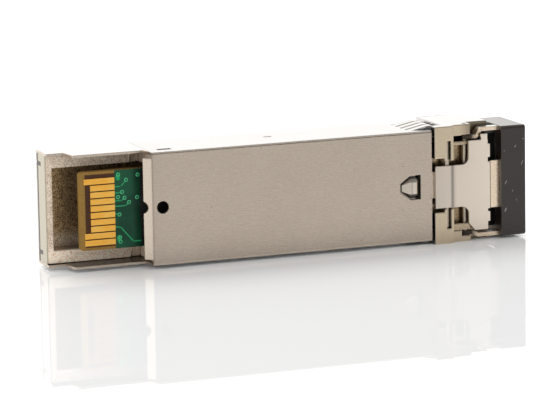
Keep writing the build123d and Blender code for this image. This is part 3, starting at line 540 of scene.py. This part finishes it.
def shade_beside_slots(tree, skin):
    """Paints shade on the sprung fingers on the narrow sides of the module, beside each slot."""
    spot = node(tree, "SeparateXYZ", Vector=node(tree, "TexCoord").outputs["Object"])
    turned_to = node(tree, "SeparateXYZ", Vector=node(tree, "NewGeometry").outputs["Normal"])
    from_slot = node(tree, "Math", {"operation": "SUBTRACT"}, i0=spot.outputs["Y"],
                     i1=BOTTOM_Y + FIRST_SLOT_DEPTH * MM)
    off_slot = node(tree, "Math", {"operation": "PINGPONG"}, i0=from_slot, i1=FINGER_PITCH / 2 * MM)
    by_slot = node(tree, "MapRange", SMOOTH, Value=off_slot, From_Min=SLOT_SHADE_HALF_WIDTH * MM,
                   From_Max=SLOT_SHADE_HALF_WIDTH / 2 * MM)
    on_fingers = node(tree, "Math", {"operation": "GREATER_THAN"}, i0=spot.outputs["X"],
                      i1=REAR_X + FINGER_START * MM)
    sideways = node(tree, "Math", {"operation": "ABSOLUTE"}, i0=turned_to.outputs["Z"])
    side_finger = node(tree, "Math", {"operation": "GREATER_THAN"}, i0=sideways, i1=0.5)
    return node(tree, "Mix", COLOURS, i0=zone(tree, on_fingers, side_finger, by_slot), i6=skin,
                i7=colour(SLOT_SHADE_TONE))


spring_nickel = nickel_sheet("bright_plated_spring_sheet", "D6D4D0", roughness=0.17, stroke_mm=0.06,
                             stroke_depth_mm=0.0004, edge_shade=shade_beside_slots)
dress("emi_spring_collar", spring_nickel, edge_mm=0.02)


# Latch rocker: a thick steel stamping, nickel plated in a barrel, a shade lighter than the cover and
# with a few knocks. The plate is folded beside the barrel and the boss is drawn up from the tail with
# sloping sides. Painted shade darkens the plate along its length: a dark line at the fold, and
# near-black shadow in the gap at the boss's front shoulder.
LATCH_SHADE_LEVELS = ((42.0, 0.72), (43.75, 0.78), (43.86, 0.55), (43.98, 0.84), (44.56, 0.9), (44.66, 0.1),
                (45.5, 0.1), (45.6, 0.9), (46.9, 0.9), (47.25, 0.8), (48.95, 0.86), (49.2, 0.42),
                (49.34, 0.42), (49.5, 0.8), (49.9, 0.94), (52.0, 0.98), (54.2, 1.05))
latch_nickel = nickel_sheet("nickel_barrel_plated_stamping", "F0E4D5", roughness=0.30, stroke_mm=0.12,
                            stroke_depth_mm=0.0003, dent_mm=1.4, levels=LATCH_SHADE_LEVELS)
# The boss lies before its end and past the depth of its foot. Its points past the slope's start move
# back by the setback, and those past the depth of its top keep this share of their width. In mm.
BOSS_SLOPE_START = 44.7
BOSS_END = 45.1
BOSS_FOOT_DEPTH = -0.02
BOSS_TOP_DEPTH = -0.25
BOSS_TOP_SHARE = 0.62
BOSS_SETBACK = 0.42
rocker_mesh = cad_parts["latch_rocker"].data.copy()
rocker_mesh.name = "drawn_latch_rocker"
middle = LOW_Z + MID_ACROSS * MM
for vertex in rocker_mesh.vertices:
    length = (vertex.co.x - REAR_X) / MM
    depth = (vertex.co.y - BOTTOM_Y) / MM
    if length < BOSS_END and depth < BOSS_FOOT_DEPTH:
        if length > BOSS_SLOPE_START:
            vertex.co.x -= BOSS_SETBACK * MM
        if depth < BOSS_TOP_DEPTH:
            vertex.co.z = middle + (vertex.co.z - middle) * BOSS_TOP_SHARE
rocker_mesh.materials.clear()
rocker_mesh.materials.append(latch_nickel)
drawn_rocker = bpy.data.objects.new("drawn_latch_rocker", rocker_mesh)
scene.collection.objects.link(drawn_rocker)
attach(drawn_rocker, "rocker")
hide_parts("latch_rocker")


# Bail bracket: one stamped strip, with an eye on the shaft at the end of each arm, an S-shaped step
# in the arm beside the rocker, a web inside the handle, and a tongue that lies next to the plate.
SHAFT_LENGTH = 51.3
SHAFT_DEPTH = 0.95
SHAFT_RADIUS = 0.36
ARM_HALF_DEPTH = 0.5
ARM_THICKNESS = 0.48
WEB_LENGTH = 56.0
# Rows of points round a quarter of the eye, round a quarter of its hole, and along the step.
EYE_STEPS = 12
HOLE_STEPS = 8
BEND_STEPS = 24
# Across at the eye, across at the web, and where along the module the step starts and ends.
ARMS = ((0.58, 0.20, 52.0, 52.95), (12.18, 13.02, 52.6, 53.35))
# Limits of each box: along, deep and across.
TONGUE = (54.45, 56.02, 0.30, 0.70, 3.42, 9.15)
WEB = (56.0, 56.4, 0.5, 1.4, 0.05, 13.15)


def smooth_step(share):
    """Runs from 0 to 1 with a soft start and end."""
    share = min(1.0, max(0.0, share))
    return share * share * (3 - 2 * share)


def add_arm(bm, eye_across, web_across, step_start, step_end):
    """Adds one arm to the bracket, in two halves that meet level with the shaft."""
    quarter = math.pi / 2
    lengths = [SHAFT_LENGTH - ARM_HALF_DEPTH * math.cos(quarter * i / EYE_STEPS)
               for i in range(EYE_STEPS)]
    lengths += [SHAFT_LENGTH + SHAFT_RADIUS * math.sin(quarter * i / HOLE_STEPS)
                for i in range(HOLE_STEPS + 1)]
    lengths += [step_start + (step_end - step_start) * i / BEND_STEPS for i in range(BEND_STEPS + 1)]
    rise = web_across - eye_across
    rows = []
    for length in sorted({*lengths, WEB_LENGTH}):
        share = (length - step_start) / (step_end - step_start)
        across = eye_across + rise * smooth_step(share)
        # The strip leans with the slope of the smooth step, so that it keeps its thickness there.
        slope = rise * 6 * share * (1 - share) / (step_end - step_start) if 0 < share < 1 else 0.0
        lean = math.atan(slope)
        beside = Vector((-math.sin(lean), math.cos(lean))) * ARM_THICKNESS / 2
        off = length - SHAFT_LENGTH
        reach = math.sqrt(max(0.0, ARM_HALF_DEPTH ** 2 - off ** 2)) if off < 0 else ARM_HALF_DEPTH
        hole = math.sqrt(max(0.0, SHAFT_RADIUS ** 2 - off ** 2))
        rows.append((length, across, beside, reach, hole))
    for sense in (-1, 1):
        rings = []
        for length, across, beside, reach, hole in rows:
            corners = ((-1, hole), (-1, reach), (1, reach), (1, hole))
            rings.append([bm.verts.new(at(length + side * beside.x, SHAFT_DEPTH + sense * depth,
                                          across + side * beside.y)) for side, depth in corners])
        join_rings(bm, rings)


def add_box(bm, length_from, length_to, depth_from, depth_to, across_from, across_to):
    """Adds a closed box to a mesh, by its limits in mm."""
    corners = [bm.verts.new(at(length, depth, across)) for length in (length_from, length_to)
               for depth in (depth_from, depth_to) for across in (across_from, across_to)]
    for face in ((0, 1, 3, 2), (4, 6, 7, 5), (0, 4, 5, 1), (2, 3, 7, 6), (0, 2, 6, 4), (1, 5, 7, 3)):
        bm.faces.new([corners[i] for i in face])


# Place along the module in mm and brightness: painted shade darkens the eyes in their slots, and painted
# light brightens the tongue and the web.
BRACKET_LEVELS = ((50.5, 0.05), (52.0, 0.08), (52.45, 0.7), (52.9, 1.0), (54.2, 1.04), (54.5, 1.1),
                  (56.5, 1.12))
bracket_nickel = nickel_sheet("nickel_barrel_plated_strip", "F3DFC8", roughness=0.28, stroke_mm=0.12,
                              stroke_depth_mm=0.0003, dent_mm=1.4, levels=BRACKET_LEVELS)
bracket_mesh = bmesh.new()
for arm in ARMS:
    add_arm(bracket_mesh, *arm)
add_box(bracket_mesh, *TONGUE)
add_box(bracket_mesh, *WEB)
stamped_bracket = finish_mesh("stamped_bail_bracket", bracket_mesh, bracket_nickel, "bail")
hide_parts("bail_bracket")


# Pins, optics and clamp: drawn, turned or stamped stainless steel. Turning leaves fine rings round
# the barrels, and drawing leaves fine lines along the pins. Both are drawn coarser than they really
# are, 0.06 to 0.1 mm apart, because the real lines are too fine to show.
MACHINING_DEPTH_MM = 0.001


def turned_steel(name, tone, roughness, line_mm, lines_across):
    """Bright steel with fine machining lines: across the module's length for turned parts."""
    material, tree = new_material(name)
    place = node(tree, "TexCoord").outputs["Object"]
    squeeze = (1.0, 0.04, 0.04) if lines_across else (1.0, 1.0, 0.04)
    stretched = node(tree, "Mapping", Vector=place, Scale=squeeze)
    lines = node(tree, "TexNoise", Vector=stretched, Scale=1 / (line_mm * MM), Detail=3.0, Roughness=0.5)
    level = node(tree, "MapRange", Value=lines, To_Min=0.9, To_Max=1.08)
    skin = node(tree, "HueSaturation", Color=colour(tone), Value=level)
    rough = node(tree, "MapRange", Value=lines, To_Min=roughness * 0.7, To_Max=roughness * 1.3)
    relief = node(tree, "Bump", Strength=1.0, Distance=MACHINING_DEPTH_MM * MM, Height=lines)
    metal = node(tree, "BsdfPrincipled", Metallic=1.0, Base_Color=skin, Roughness=rough, Normal=relief)
    node(tree, "OutputMaterial", Surface=metal)
    return material


pin_steel = turned_steel("drawn_stainless_pin", "CBBFAE", roughness=0.34, line_mm=0.08,
                         lines_across=False)
for name in ("rocker_pin", "bail_shaft"):
    dress(name, pin_steel)
barrel_steel = turned_steel("turned_stainless", "C4BFB6", roughness=0.2, line_mm=0.06, lines_across=True)
for name in ("transmit_subassembly", "receive_subassembly"):
    dress(name, barrel_steel, edge_mm=0.05)
clamp_steel = turned_steel("stamped_stainless", "B7B1A6", roughness=0.3, line_mm=0.1, lines_across=False)
dress("subassembly_clamp", clamp_steel, edge_mm=0.04)


# Latch return spring: drawn spring wire wound on a mandrel, its last turns laid flat. It sits
# between the rocker's tail and the port block, and is pressed together when the boss is drawn in.
# Place along the module, radii, lowest and highest depth of the wire's middle, in mm.
COIL_PLACE = 44.2
COIL_RADIUS = 0.74
WIRE_RADIUS = 0.11
COIL_LOW = 0.89
COIL_HIGH = 1.64
COIL_TURNS = 2.5
COIL_STEPS = 120
WIRE_SIDES = 10
coil_mesh = bmesh.new()
coil_rings = []
for i in range(COIL_STEPS + 1):
    share = i / COIL_STEPS
    angle = math.tau * COIL_TURNS * share
    outward = Vector((math.cos(angle), 0, math.sin(angle)))
    centre = at(COIL_PLACE, COIL_LOW + (COIL_HIGH - COIL_LOW) * smooth_step(share), MID_ACROSS)
    centre += outward * COIL_RADIUS * MM
    ring = []
    for side in range(WIRE_SIDES):
        turn = math.tau * side / WIRE_SIDES
        off = (outward * math.cos(turn) + Vector((0, 1, 0)) * math.sin(turn)) * WIRE_RADIUS * MM
        ring.append(coil_mesh.verts.new(centre + off))
    coil_rings.append(ring)
join_rings(coil_mesh, coil_rings)
coil_mesh.faces.new(coil_rings[0])
coil_mesh.faces.new(coil_rings[-1])
spring_steel = turned_steel("drawn_spring_wire", "9A958C", roughness=0.25, line_mm=0.05, lines_across=True)
wound_spring = finish_mesh("wound_latch_spring", coil_mesh, spring_steel, "module",
                           smooth=True)
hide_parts("latch_spring")
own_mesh(wound_spring)


# Bail handle: black glass-filled nylon, moulded on the bracket. The skin has a fine spark-eroded
# texture that scatters light to a warm dark grey, drawn coarser than it is so that it shows, and has
# short pale nicks where it was knocked.
RUBBED_PATCH_MM = 4.0


def moulded_plastic(name, tone, roughness, texture_mm, texture_depth_mm, polish=0.0, shine=0.5):
    """Black moulded plastic with a fine even texture and slightly polished rubbed patches."""
    material, tree = new_material(name)
    place = node(tree, "TexCoord").outputs["Object"]
    texture = node(tree, "TexNoise", Vector=place, Scale=1 / (texture_mm * MM), Detail=3.0, Roughness=0.6)
    rubbed = node(tree, "TexNoise", Vector=place, Scale=1 / (RUBBED_PATCH_MM * MM), Detail=3.0)
    level = node(tree, "MapRange", Value=rubbed, To_Min=0.85, To_Max=1.2)
    warm = node(tree, "HueSaturation", Color=colour(tone), Value=level)
    speck = node(tree, "MapRange", Value=texture, From_Min=0.3, From_Max=0.7, To_Min=0.85, To_Max=1.15)
    skin = node(tree, "HueSaturation", Color=warm, Value=speck)
    rough = node(tree, "MapRange", Value=rubbed, To_Min=roughness + 0.06, To_Max=roughness - 0.08)
    relief = node(tree, "Bump", Strength=0.8, Distance=texture_depth_mm * MM, Height=texture)
    plastic = node(tree, "BsdfPrincipled", Base_Color=skin, IOR=1.53, Roughness=rough, Normal=relief,
                   Specular_IOR_Level=shine, Coat_Weight=polish, Coat_Roughness=0.16, Coat_IOR=1.5)
    node(tree, "OutputMaterial", Surface=plastic)
    return material


handle_nylon = moulded_plastic("black_glass_filled_nylon", "231711", roughness=0.42, texture_mm=0.12,
                               texture_depth_mm=0.006, polish=0.7, shine=0.35)
dress("bail_handle", handle_nylon, edge_mm=0.08)

NICK_PROUD = 0.012
HANDLE_FACE_DEPTH = -0.3
# One nick's outline, in shares of its length and width.
NICK_OUTLINE = ((-0.5, 0.0), (-0.2, -0.5), (0.25, -0.4), (0.5, 0.05), (0.2, 0.5), (-0.25, 0.35))
# Middle along and across, length and width of each nick in mm, and its lean in degrees.
NICKS = ((57.45, 10.75, 0.42, 0.11, 55), (58.35, 8.7, 0.75, 0.09, 65), (56.2, 6.45, 0.6, 0.12, 60),
         (57.1, 5.35, 0.3, 0.08, 100), (56.15, 3.1, 0.6, 0.16, 65), (58.5, 11.6, 0.3, 0.08, 20),
         (57.6, 4.2, 0.25, 0.07, 120), (56.0, 10.3, 0.2, 0.07, 30))
nick_mesh = bmesh.new()
for length, across, reach, girth, lean in NICKS:
    turn = math.radians(lean)
    outline = [(length + along * reach * math.cos(turn) - beside * girth * math.sin(turn),
                across + along * reach * math.sin(turn) + beside * girth * math.cos(turn))
               for along, beside in NICK_OUTLINE]
    raise_outline(nick_mesh, outline, HANDLE_FACE_DEPTH, NICK_PROUD)
nick_nylon = moulded_plastic("stress_whitened_nylon", "8E8884", roughness=0.5, texture_mm=0.08,
                             texture_depth_mm=0.01)
finish_mesh("handle_nicks", nick_mesh, nick_nylon, "bail")


# Fibre port block: black liquid-crystal polymer, moulded to tight tolerances and held between the
# nose's cheeks. Its skin is blacker and duller than the handle's, with a shallower texture.
port_polymer = moulded_plastic("black_liquid_crystal_polymer", "0A0706", roughness=0.5, texture_mm=0.18,
                               texture_depth_mm=0.004, shine=0.12)
dress("fibre_port_block", port_polymer, edge_mm=0.06)


# Circuit board: glass and epoxy laminate, 1 mm thick, with its plug edge routed and bevelled. The
# green solder mask stops at the contacts, where the bare brown laminate shows.
MASK_START = 7.47
# Where the dark bare face begins and is wholly reached, in mm: past the bevel, and off the middle.
BEVEL_END = (3.80, 3.92)
BARE_HALF_WIDTH = (4.33, 4.23)
BOARD_DEPTH = 2.25
# The glass weave is drawn coarser than it really is, because the real one is too fine to show.
WEAVE_MM = 2.83
WEAVE_DEPTH_MM = 0.004
# A wave texture runs through this many radians in one unit, at a scale of 1.
WAVE_RADIANS = 20
FIBRE_MM = 0.25
COPPER_PATCH_MM = 2.6
# Place along the module in mm and brightness: painted shadow of the cover's guide ramp darkens the board
# past it.
BOARD_SHADOW_LEVELS = ((3.0, 1.0), (9.6, 1.0), (10.0, 0.62), (12.0, 0.35))
laminate, tree = new_material("glass_epoxy_with_green_mask")
place = node(tree, "TexCoord").outputs["Object"]
spot = node(tree, "SeparateXYZ", Vector=place)
facing_side = node(tree, "SeparateXYZ", Vector=node(tree, "NewGeometry").outputs["Normal"])
flat = node(tree, "Math", {"operation": "ABSOLUTE"}, i0=facing_side.outputs["Y"])
is_face = node(tree, "Math", {"operation": "GREATER_THAN"}, i0=flat, i1=0.5)
past_contacts = node(tree, "Math", {"operation": "GREATER_THAN"}, i0=spot.outputs["X"],
                     i1=REAR_X + MASK_START * MM)
masked = node(tree, "Math", TIMES, i0=past_contacts, i1=is_face)
stained = zone(tree, ("X", *BEVEL_END), ("Z", *[MID_ACROSS - half for half in BARE_HALF_WIDTH]),
               ("Z", *[MID_ACROSS + half for half in BARE_HALF_WIDTH]))
weave = node(tree, "TexWave", {"bands_direction": "Z"}, Vector=place,
             Scale=math.tau / (WEAVE_MM * MM * WAVE_RADIANS), Distortion=1.5, Detail=2.0)
fibres = node(tree, "TexNoise", Vector=place, Scale=1 / (FIBRE_MM * MM), Detail=3.0)
routed = node(tree, "Mix", COLOURS, i0=fibres, i6=colour("76582A"), i7=colour("A5813F"))
bare = node(tree, "Mix", COLOURS, i0=fibres, i6=colour("341D10"), i7=colour("573722"))
brown = node(tree, "Mix", COLOURS, i0=stained, i6=routed, i7=bare)
copper_below = node(tree, "TexNoise", Vector=place, Scale=1 / (COPPER_PATCH_MM * MM), Detail=1.0)
copper_level = node(tree, "MapRange", SMOOTH, Value=copper_below, From_Min=0.42, From_Max=0.6)
green = node(tree, "Mix", COLOURS, i0=copper_level, i6=colour("12422F"), i7=colour("185239"))
board_skin = node(tree, "Mix", COLOURS, i0=masked, i6=brown, i7=green)
board_rough = node(tree, "MapRange", Value=masked, To_Min=0.6, To_Max=0.28)
board_relief = node(tree, "Bump", Strength=0.4, Distance=WEAVE_DEPTH_MM * MM,
                    Height=weave.outputs["Fac"])
board_shade = shaded_along(tree, board_skin, BOARD_SHADOW_LEVELS)
board_resin = node(tree, "BsdfPrincipled", Base_Color=board_shade, Roughness=board_rough,
                   Normal=board_relief, Specular_IOR_Level=0.2)
node(tree, "OutputMaterial", Surface=board_resin)
dress("circuit_board", laminate, edge_mm=0.02)

# Copper tracks and vias under the mask: etched copper 35 microns thick. The mask thins over its
# edges, so the tracks and the rings round the vias show as a lighter, brighter green.
TRACK_PROUD = 0.03
TRACK_WIDTH = 0.13
# A via's foot, crown and lip: radius in mm, and height as a share of a track's.
VIA_RINGS = ((0.24, 0.6), (0.192, 1.6), (0.13, 1.5))
# Places in mm along and across: the bends of each track, and the middle of each via.
TRACKS = (((7.47, 9.36), (8.25, 9.36), (8.80, 9.93)),
          ((7.47, 8.62), (8.20, 8.62)),
          ((7.47, 7.68), (8.30, 7.68), (8.55, 7.85)),
          ((7.47, 7.05), (8.78, 7.05), (9.10, 7.32)),
          ((7.47, 6.20), (7.85, 6.12)),
          ((7.47, 4.62), (8.12, 4.56), (9.65, 2.78), (11.2, 2.78)))
VIAS = ((7.95, 10.76), (8.91, 10.06), (8.39, 8.67), (7.88, 8.10), (8.68, 7.97), (9.21, 7.42),
        (8.01, 6.05), (8.06, 2.86), (8.02, 3.35), (10.34, 10.57), (10.21, 7.93))
# Middle along and across, and half length and half width, of each pool of mask.
POOLS = ((7.92, 10.42, 0.30, 0.36), (7.90, 3.25, 0.28, 0.40))


def disc_outline(length, across, along_radius, across_radius, sides=20):
    """Points of a round or oval outline, in mm along and across."""
    return [(length + along_radius * math.cos(math.tau * i / sides),
             across + across_radius * math.sin(math.tau * i / sides)) for i in range(sides)]


def mottled_skin(name, low_tone, high_tone, mottle_mm, depth_mm, detail, strength, **finish):
    """A coat, film or pad whose tone and height vary together: its high spots take the high tone."""
    material, tree = new_material(name)
    place = node(tree, "TexCoord").outputs["Object"]
    mottle = node(tree, "TexNoise", Vector=place, Scale=1 / (mottle_mm * MM), Detail=detail)
    skin = node(tree, "Mix", COLOURS, i0=mottle, i6=colour(low_tone), i7=colour(high_tone))
    relief = node(tree, "Bump", Strength=strength, Distance=depth_mm * MM, Height=mottle)
    surface = node(tree, "BsdfPrincipled", Base_Color=skin, Normal=relief, **finish)
    node(tree, "OutputMaterial", Surface=surface)
    return material


def masked_copper(name, thick_tone, thin_tone):
    """Green mask over copper: lighter than the bare board, glossy, with a slight orange peel."""
    return mottled_skin(name, thick_tone, thin_tone, mottle_mm=0.18, depth_mm=0.004, detail=2.0,
                        strength=0.5, Roughness=0.25, Specular_IOR_Level=0.3)


track_mesh = bmesh.new()
for route in TRACKS:
    for (from_length, from_across), (to_length, to_across) in zip(route, route[1:]):
        run = Vector((to_length - from_length, to_across - from_across))
        side = Vector((-run.y, run.x)).normalized() * TRACK_WIDTH / 2
        outline = [(length + sense * side.x, across + sense * side.y) for length, across, sense in
                   ((from_length, from_across, 1), (from_length, from_across, -1),
                    (to_length, to_across, -1), (to_length, to_across, 1))]
        raise_outline(track_mesh, outline, BOARD_DEPTH, TRACK_PROUD)
    for length, across in route[1:]:
        bend = disc_outline(length, across, TRACK_WIDTH / 2, TRACK_WIDTH / 2, sides=10)
        raise_outline(track_mesh, bend, BOARD_DEPTH, TRACK_PROUD)
finish_mesh("masked_tracks", track_mesh, masked_copper("mask_over_track", "1B8A57", "2FA86E"),
            "module")

via_mesh = bmesh.new()
for length, across in VIAS:
    rings = []
    for radius, proud in VIA_RINGS:
        rings.append([via_mesh.verts.new(at(x, BOARD_DEPTH - TRACK_PROUD * proud, z))
                      for x, z in disc_outline(length, across, radius, radius)])
    join_rings(via_mesh, rings)
finish_mesh("via_rings", via_mesh, masked_copper("mask_over_via_ring", "2FA56B", "5FCB93"),
            "module", smooth=True)

pool_mesh = bmesh.new()
for length, across, along_radius, across_radius in POOLS:
    raise_outline(pool_mesh, disc_outline(length, across, along_radius, across_radius), BOARD_DEPTH,
                  TRACK_PROUD * 0.5)
finish_mesh("mask_pools", pool_mesh, masked_copper("mask_pooled_over_via", "0C7C48", "17A060"),
            "module")


# Black film over the board just inside the cover: a painted shadow, standing in for the shade that the
# cover casts there. It has a fine crease texture and shows as black through the notch and the hole of
# the cover.
SHADOW_FILM_OUTLINE = ((10.62, 2.3), (15.1, 2.3), (15.1, 11.1), (10.55, 11.1), (10.6, 8.9), (10.5, 6.2), (10.64, 4.0))
SHADOW_FILM_THICKNESS = 0.06
shadow_film_mesh = bmesh.new()
raise_outline(shadow_film_mesh, SHADOW_FILM_OUTLINE, BOARD_DEPTH, SHADOW_FILM_THICKNESS)
shadow_film_black = moulded_plastic("black_painted_shadow_film", "0B0A0B", roughness=0.55, texture_mm=0.3,
                            texture_depth_mm=0.01)
finish_mesh("painted_shadow_film", shadow_film_mesh, shadow_film_black, "module")


# Edge contacts: copper plated with nickel and hard gold. Each has fine insertion scratches along
# its length, drawn 0.06 mm apart so that they show, and the gold is a warm orange yellow. The side
# walls of the contacts lie in the etched gaps and look dark brown.
WIPE_MM = 0.06
WIPE_DEPTH_MM = 0.0008
WORN_PATCH_MM = 1.2
gold, tree = new_material("hard_gold_plating")
place = node(tree, "TexCoord").outputs["Object"]
stretched = node(tree, "Mapping", Vector=place, Scale=(0.08, 1.0, 1.0))
wipes = node(tree, "TexNoise", Vector=stretched, Scale=1 / (WIPE_MM * MM), Detail=4.0, Roughness=0.6)
patches = node(tree, "TexNoise", Vector=place, Scale=1 / (WORN_PATCH_MM * MM), Detail=2.0)
gold_tint = node(tree, "Mix", COLOURS, i0=patches, i6=colour("FFB440"), i7=colour("FFCE6C"))
gold_level = node(tree, "MapRange", Value=wipes, To_Min=0.92, To_Max=1.06)
gold_skin = node(tree, "HueSaturation", Color=gold_tint, Value=gold_level)
wall_side = node(tree, "SeparateXYZ", Vector=node(tree, "NewGeometry").outputs["Normal"])
wall_turn = node(tree, "Math", {"operation": "ABSOLUTE"}, i0=wall_side.outputs["Z"])
wall = node(tree, "Math", {"operation": "GREATER_THAN"}, i0=wall_turn, i1=0.6)
contact_skin = node(tree, "Mix", COLOURS, i0=wall, i6=gold_skin, i7=colour("3A200C"))
gold_rough = node(tree, "MapRange", Value=wipes, To_Min=0.22, To_Max=0.38)
gold_relief = node(tree, "Bump", Strength=1.0, Distance=WIPE_DEPTH_MM * MM, Height=wipes)
gold_metal = node(tree, "BsdfPrincipled", Metallic=1.0, Base_Color=contact_skin, Roughness=gold_rough,
                  Normal=gold_relief)
node(tree, "OutputMaterial", Surface=gold_metal)
for name in ("bottom_edge_contacts", "top_edge_contacts"):
    dress(name, gold)


# Flexible circuits: polyimide film over rolled copper, amber and glossy, with the copper lines
# showing through as lighter stripes along the film.
STRIPE_PITCH_MM = 0.5
STRIPE_HEIGHT_MM = 0.01
flex_film, tree = new_material("amber_polyimide_film")
place = node(tree, "TexCoord").outputs["Object"]
spot = node(tree, "SeparateXYZ", Vector=place)
stripe_turns = node(tree, "Math", TIMES, i0=spot.outputs["Z"], i1=math.tau / (STRIPE_PITCH_MM * MM))
stripe_wave = node(tree, "Math", {"operation": "SINE"}, i0=stripe_turns)
stripes = node(tree, "MapRange", SMOOTH, Value=stripe_wave, From_Min=-0.2, From_Max=0.2)
film_skin = node(tree, "Mix", COLOURS, i0=stripes, i6=colour("8A4A14"), i7=colour("C98A3A"))
film_relief = node(tree, "Bump", Strength=0.6, Distance=STRIPE_HEIGHT_MM * MM, Height=stripes)
film = node(tree, "BsdfPrincipled", Base_Color=film_skin, Roughness=0.3, IOR=1.7, Normal=film_relief)
node(tree, "OutputMaterial", Surface=film)
for name in ("transmit_flex_circuit", "receive_flex_circuit"):
    dress(name, flex_film)


# Chips and small parts: transfer-moulded epoxy bodies with a fine matte skin, ceramic capacitors
# and ferrite inductors whose ends are tinned.
chip_epoxy = moulded_plastic("transfer_moulded_epoxy", "1B1B1D", roughness=0.5, texture_mm=0.06,
                             texture_depth_mm=0.003)
for name in ("laser_driver_chip", "receive_amplifier_chip", "controller_chip", "memory_chip"):
    dress(name, chip_epoxy, edge_mm=0.03)

FIRED_GRAIN_MM = 0.08
FIRED_GRAIN_DEPTH_MM = 0.003


def tinned_ceramic(name, body_tone, pitch_mm, first_mm, half_body_mm, axis):
    """Fired ceramic body with tinned ends: the ends are found by their place in the row of parts."""
    material, tree = new_material(name)
    place = node(tree, "TexCoord").outputs["Object"]
    spot = node(tree, "SeparateXYZ", Vector=place)
    shifted = node(tree, "Math", {"operation": "SUBTRACT"}, i0=spot.outputs[axis], i1=first_mm * MM)
    wrapped = node(tree, "Math", {"operation": "PINGPONG"}, i0=shifted, i1=pitch_mm / 2 * MM)
    end = node(tree, "Math", {"operation": "GREATER_THAN"}, i0=wrapped, i1=half_body_mm * MM)
    grain = node(tree, "TexNoise", Vector=place, Scale=1 / (FIRED_GRAIN_MM * MM), Detail=2.0)
    level = node(tree, "MapRange", Value=grain, To_Min=0.9, To_Max=1.1)
    body = node(tree, "HueSaturation", Color=colour(body_tone), Value=level)
    skin = node(tree, "Mix", COLOURS, i0=end, i6=body, i7=colour("C9C8C4"))
    relief = node(tree, "Bump", Strength=0.5, Distance=FIRED_GRAIN_DEPTH_MM * MM, Height=grain)
    fired = node(tree, "BsdfPrincipled", Base_Color=skin, Roughness=0.4, Metallic=end, Normal=relief)
    node(tree, "OutputMaterial", Surface=fired)
    return material


# Middle of the first row and distance between rows of each kind, in mm in the frame.
CAPACITOR_PITCH = 6.8
CAPACITOR_ROW = MID_ACROSS + SPRING_RISE - CAPACITOR_PITCH / 2
capacitor_ceramic = tinned_ceramic("fired_capacitor_ceramic", "8F6E4C", pitch_mm=CAPACITOR_PITCH,
                                   first_mm=CAPACITOR_ROW, half_body_mm=0.28, axis="Z")
dress("chip_capacitors", capacitor_ceramic, edge_mm=0.03)
# The inductors stand in a single row, so its pitch is wider than the module is long.
INDUCTOR_PITCH = 60.0
INDUCTOR_ROW = -3.0
inductor_ferrite = tinned_ceramic("fired_ferrite", "33343A", pitch_mm=INDUCTOR_PITCH,
                                  first_mm=INDUCTOR_ROW, half_body_mm=0.5, axis="X")
dress("filter_inductors", inductor_ferrite, edge_mm=0.03)


# Thermal gap pad: soft silicone filled with ceramic powder, cut from sheet and pressed on a chip. It
# looks dry and matte, with a faint powdery mottle.
gap_pad = mottled_skin("filled_silicone_gap_pad", "7D8C9C", "A3AFBB", mottle_mm=0.12, depth_mm=0.01,
                       detail=4.0, strength=0.7, Roughness=0.75, IOR=1.41)
dress("thermal_pad", gap_pad)


# Blank label: white polyester film with a satin print coat, die cut and stuck flat on the label
# side. Nothing is printed on it.
label_film = mottled_skin("blank_polyester_label", "DEDEDA", "E9E9E6", mottle_mm=0.3, depth_mm=0.004,
                          detail=4.0, strength=0.3, Roughness=0.38, IOR=1.57)
dress("blank_label", label_film)


# The size of the dressed scene, without the floor, is kept.
low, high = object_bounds()
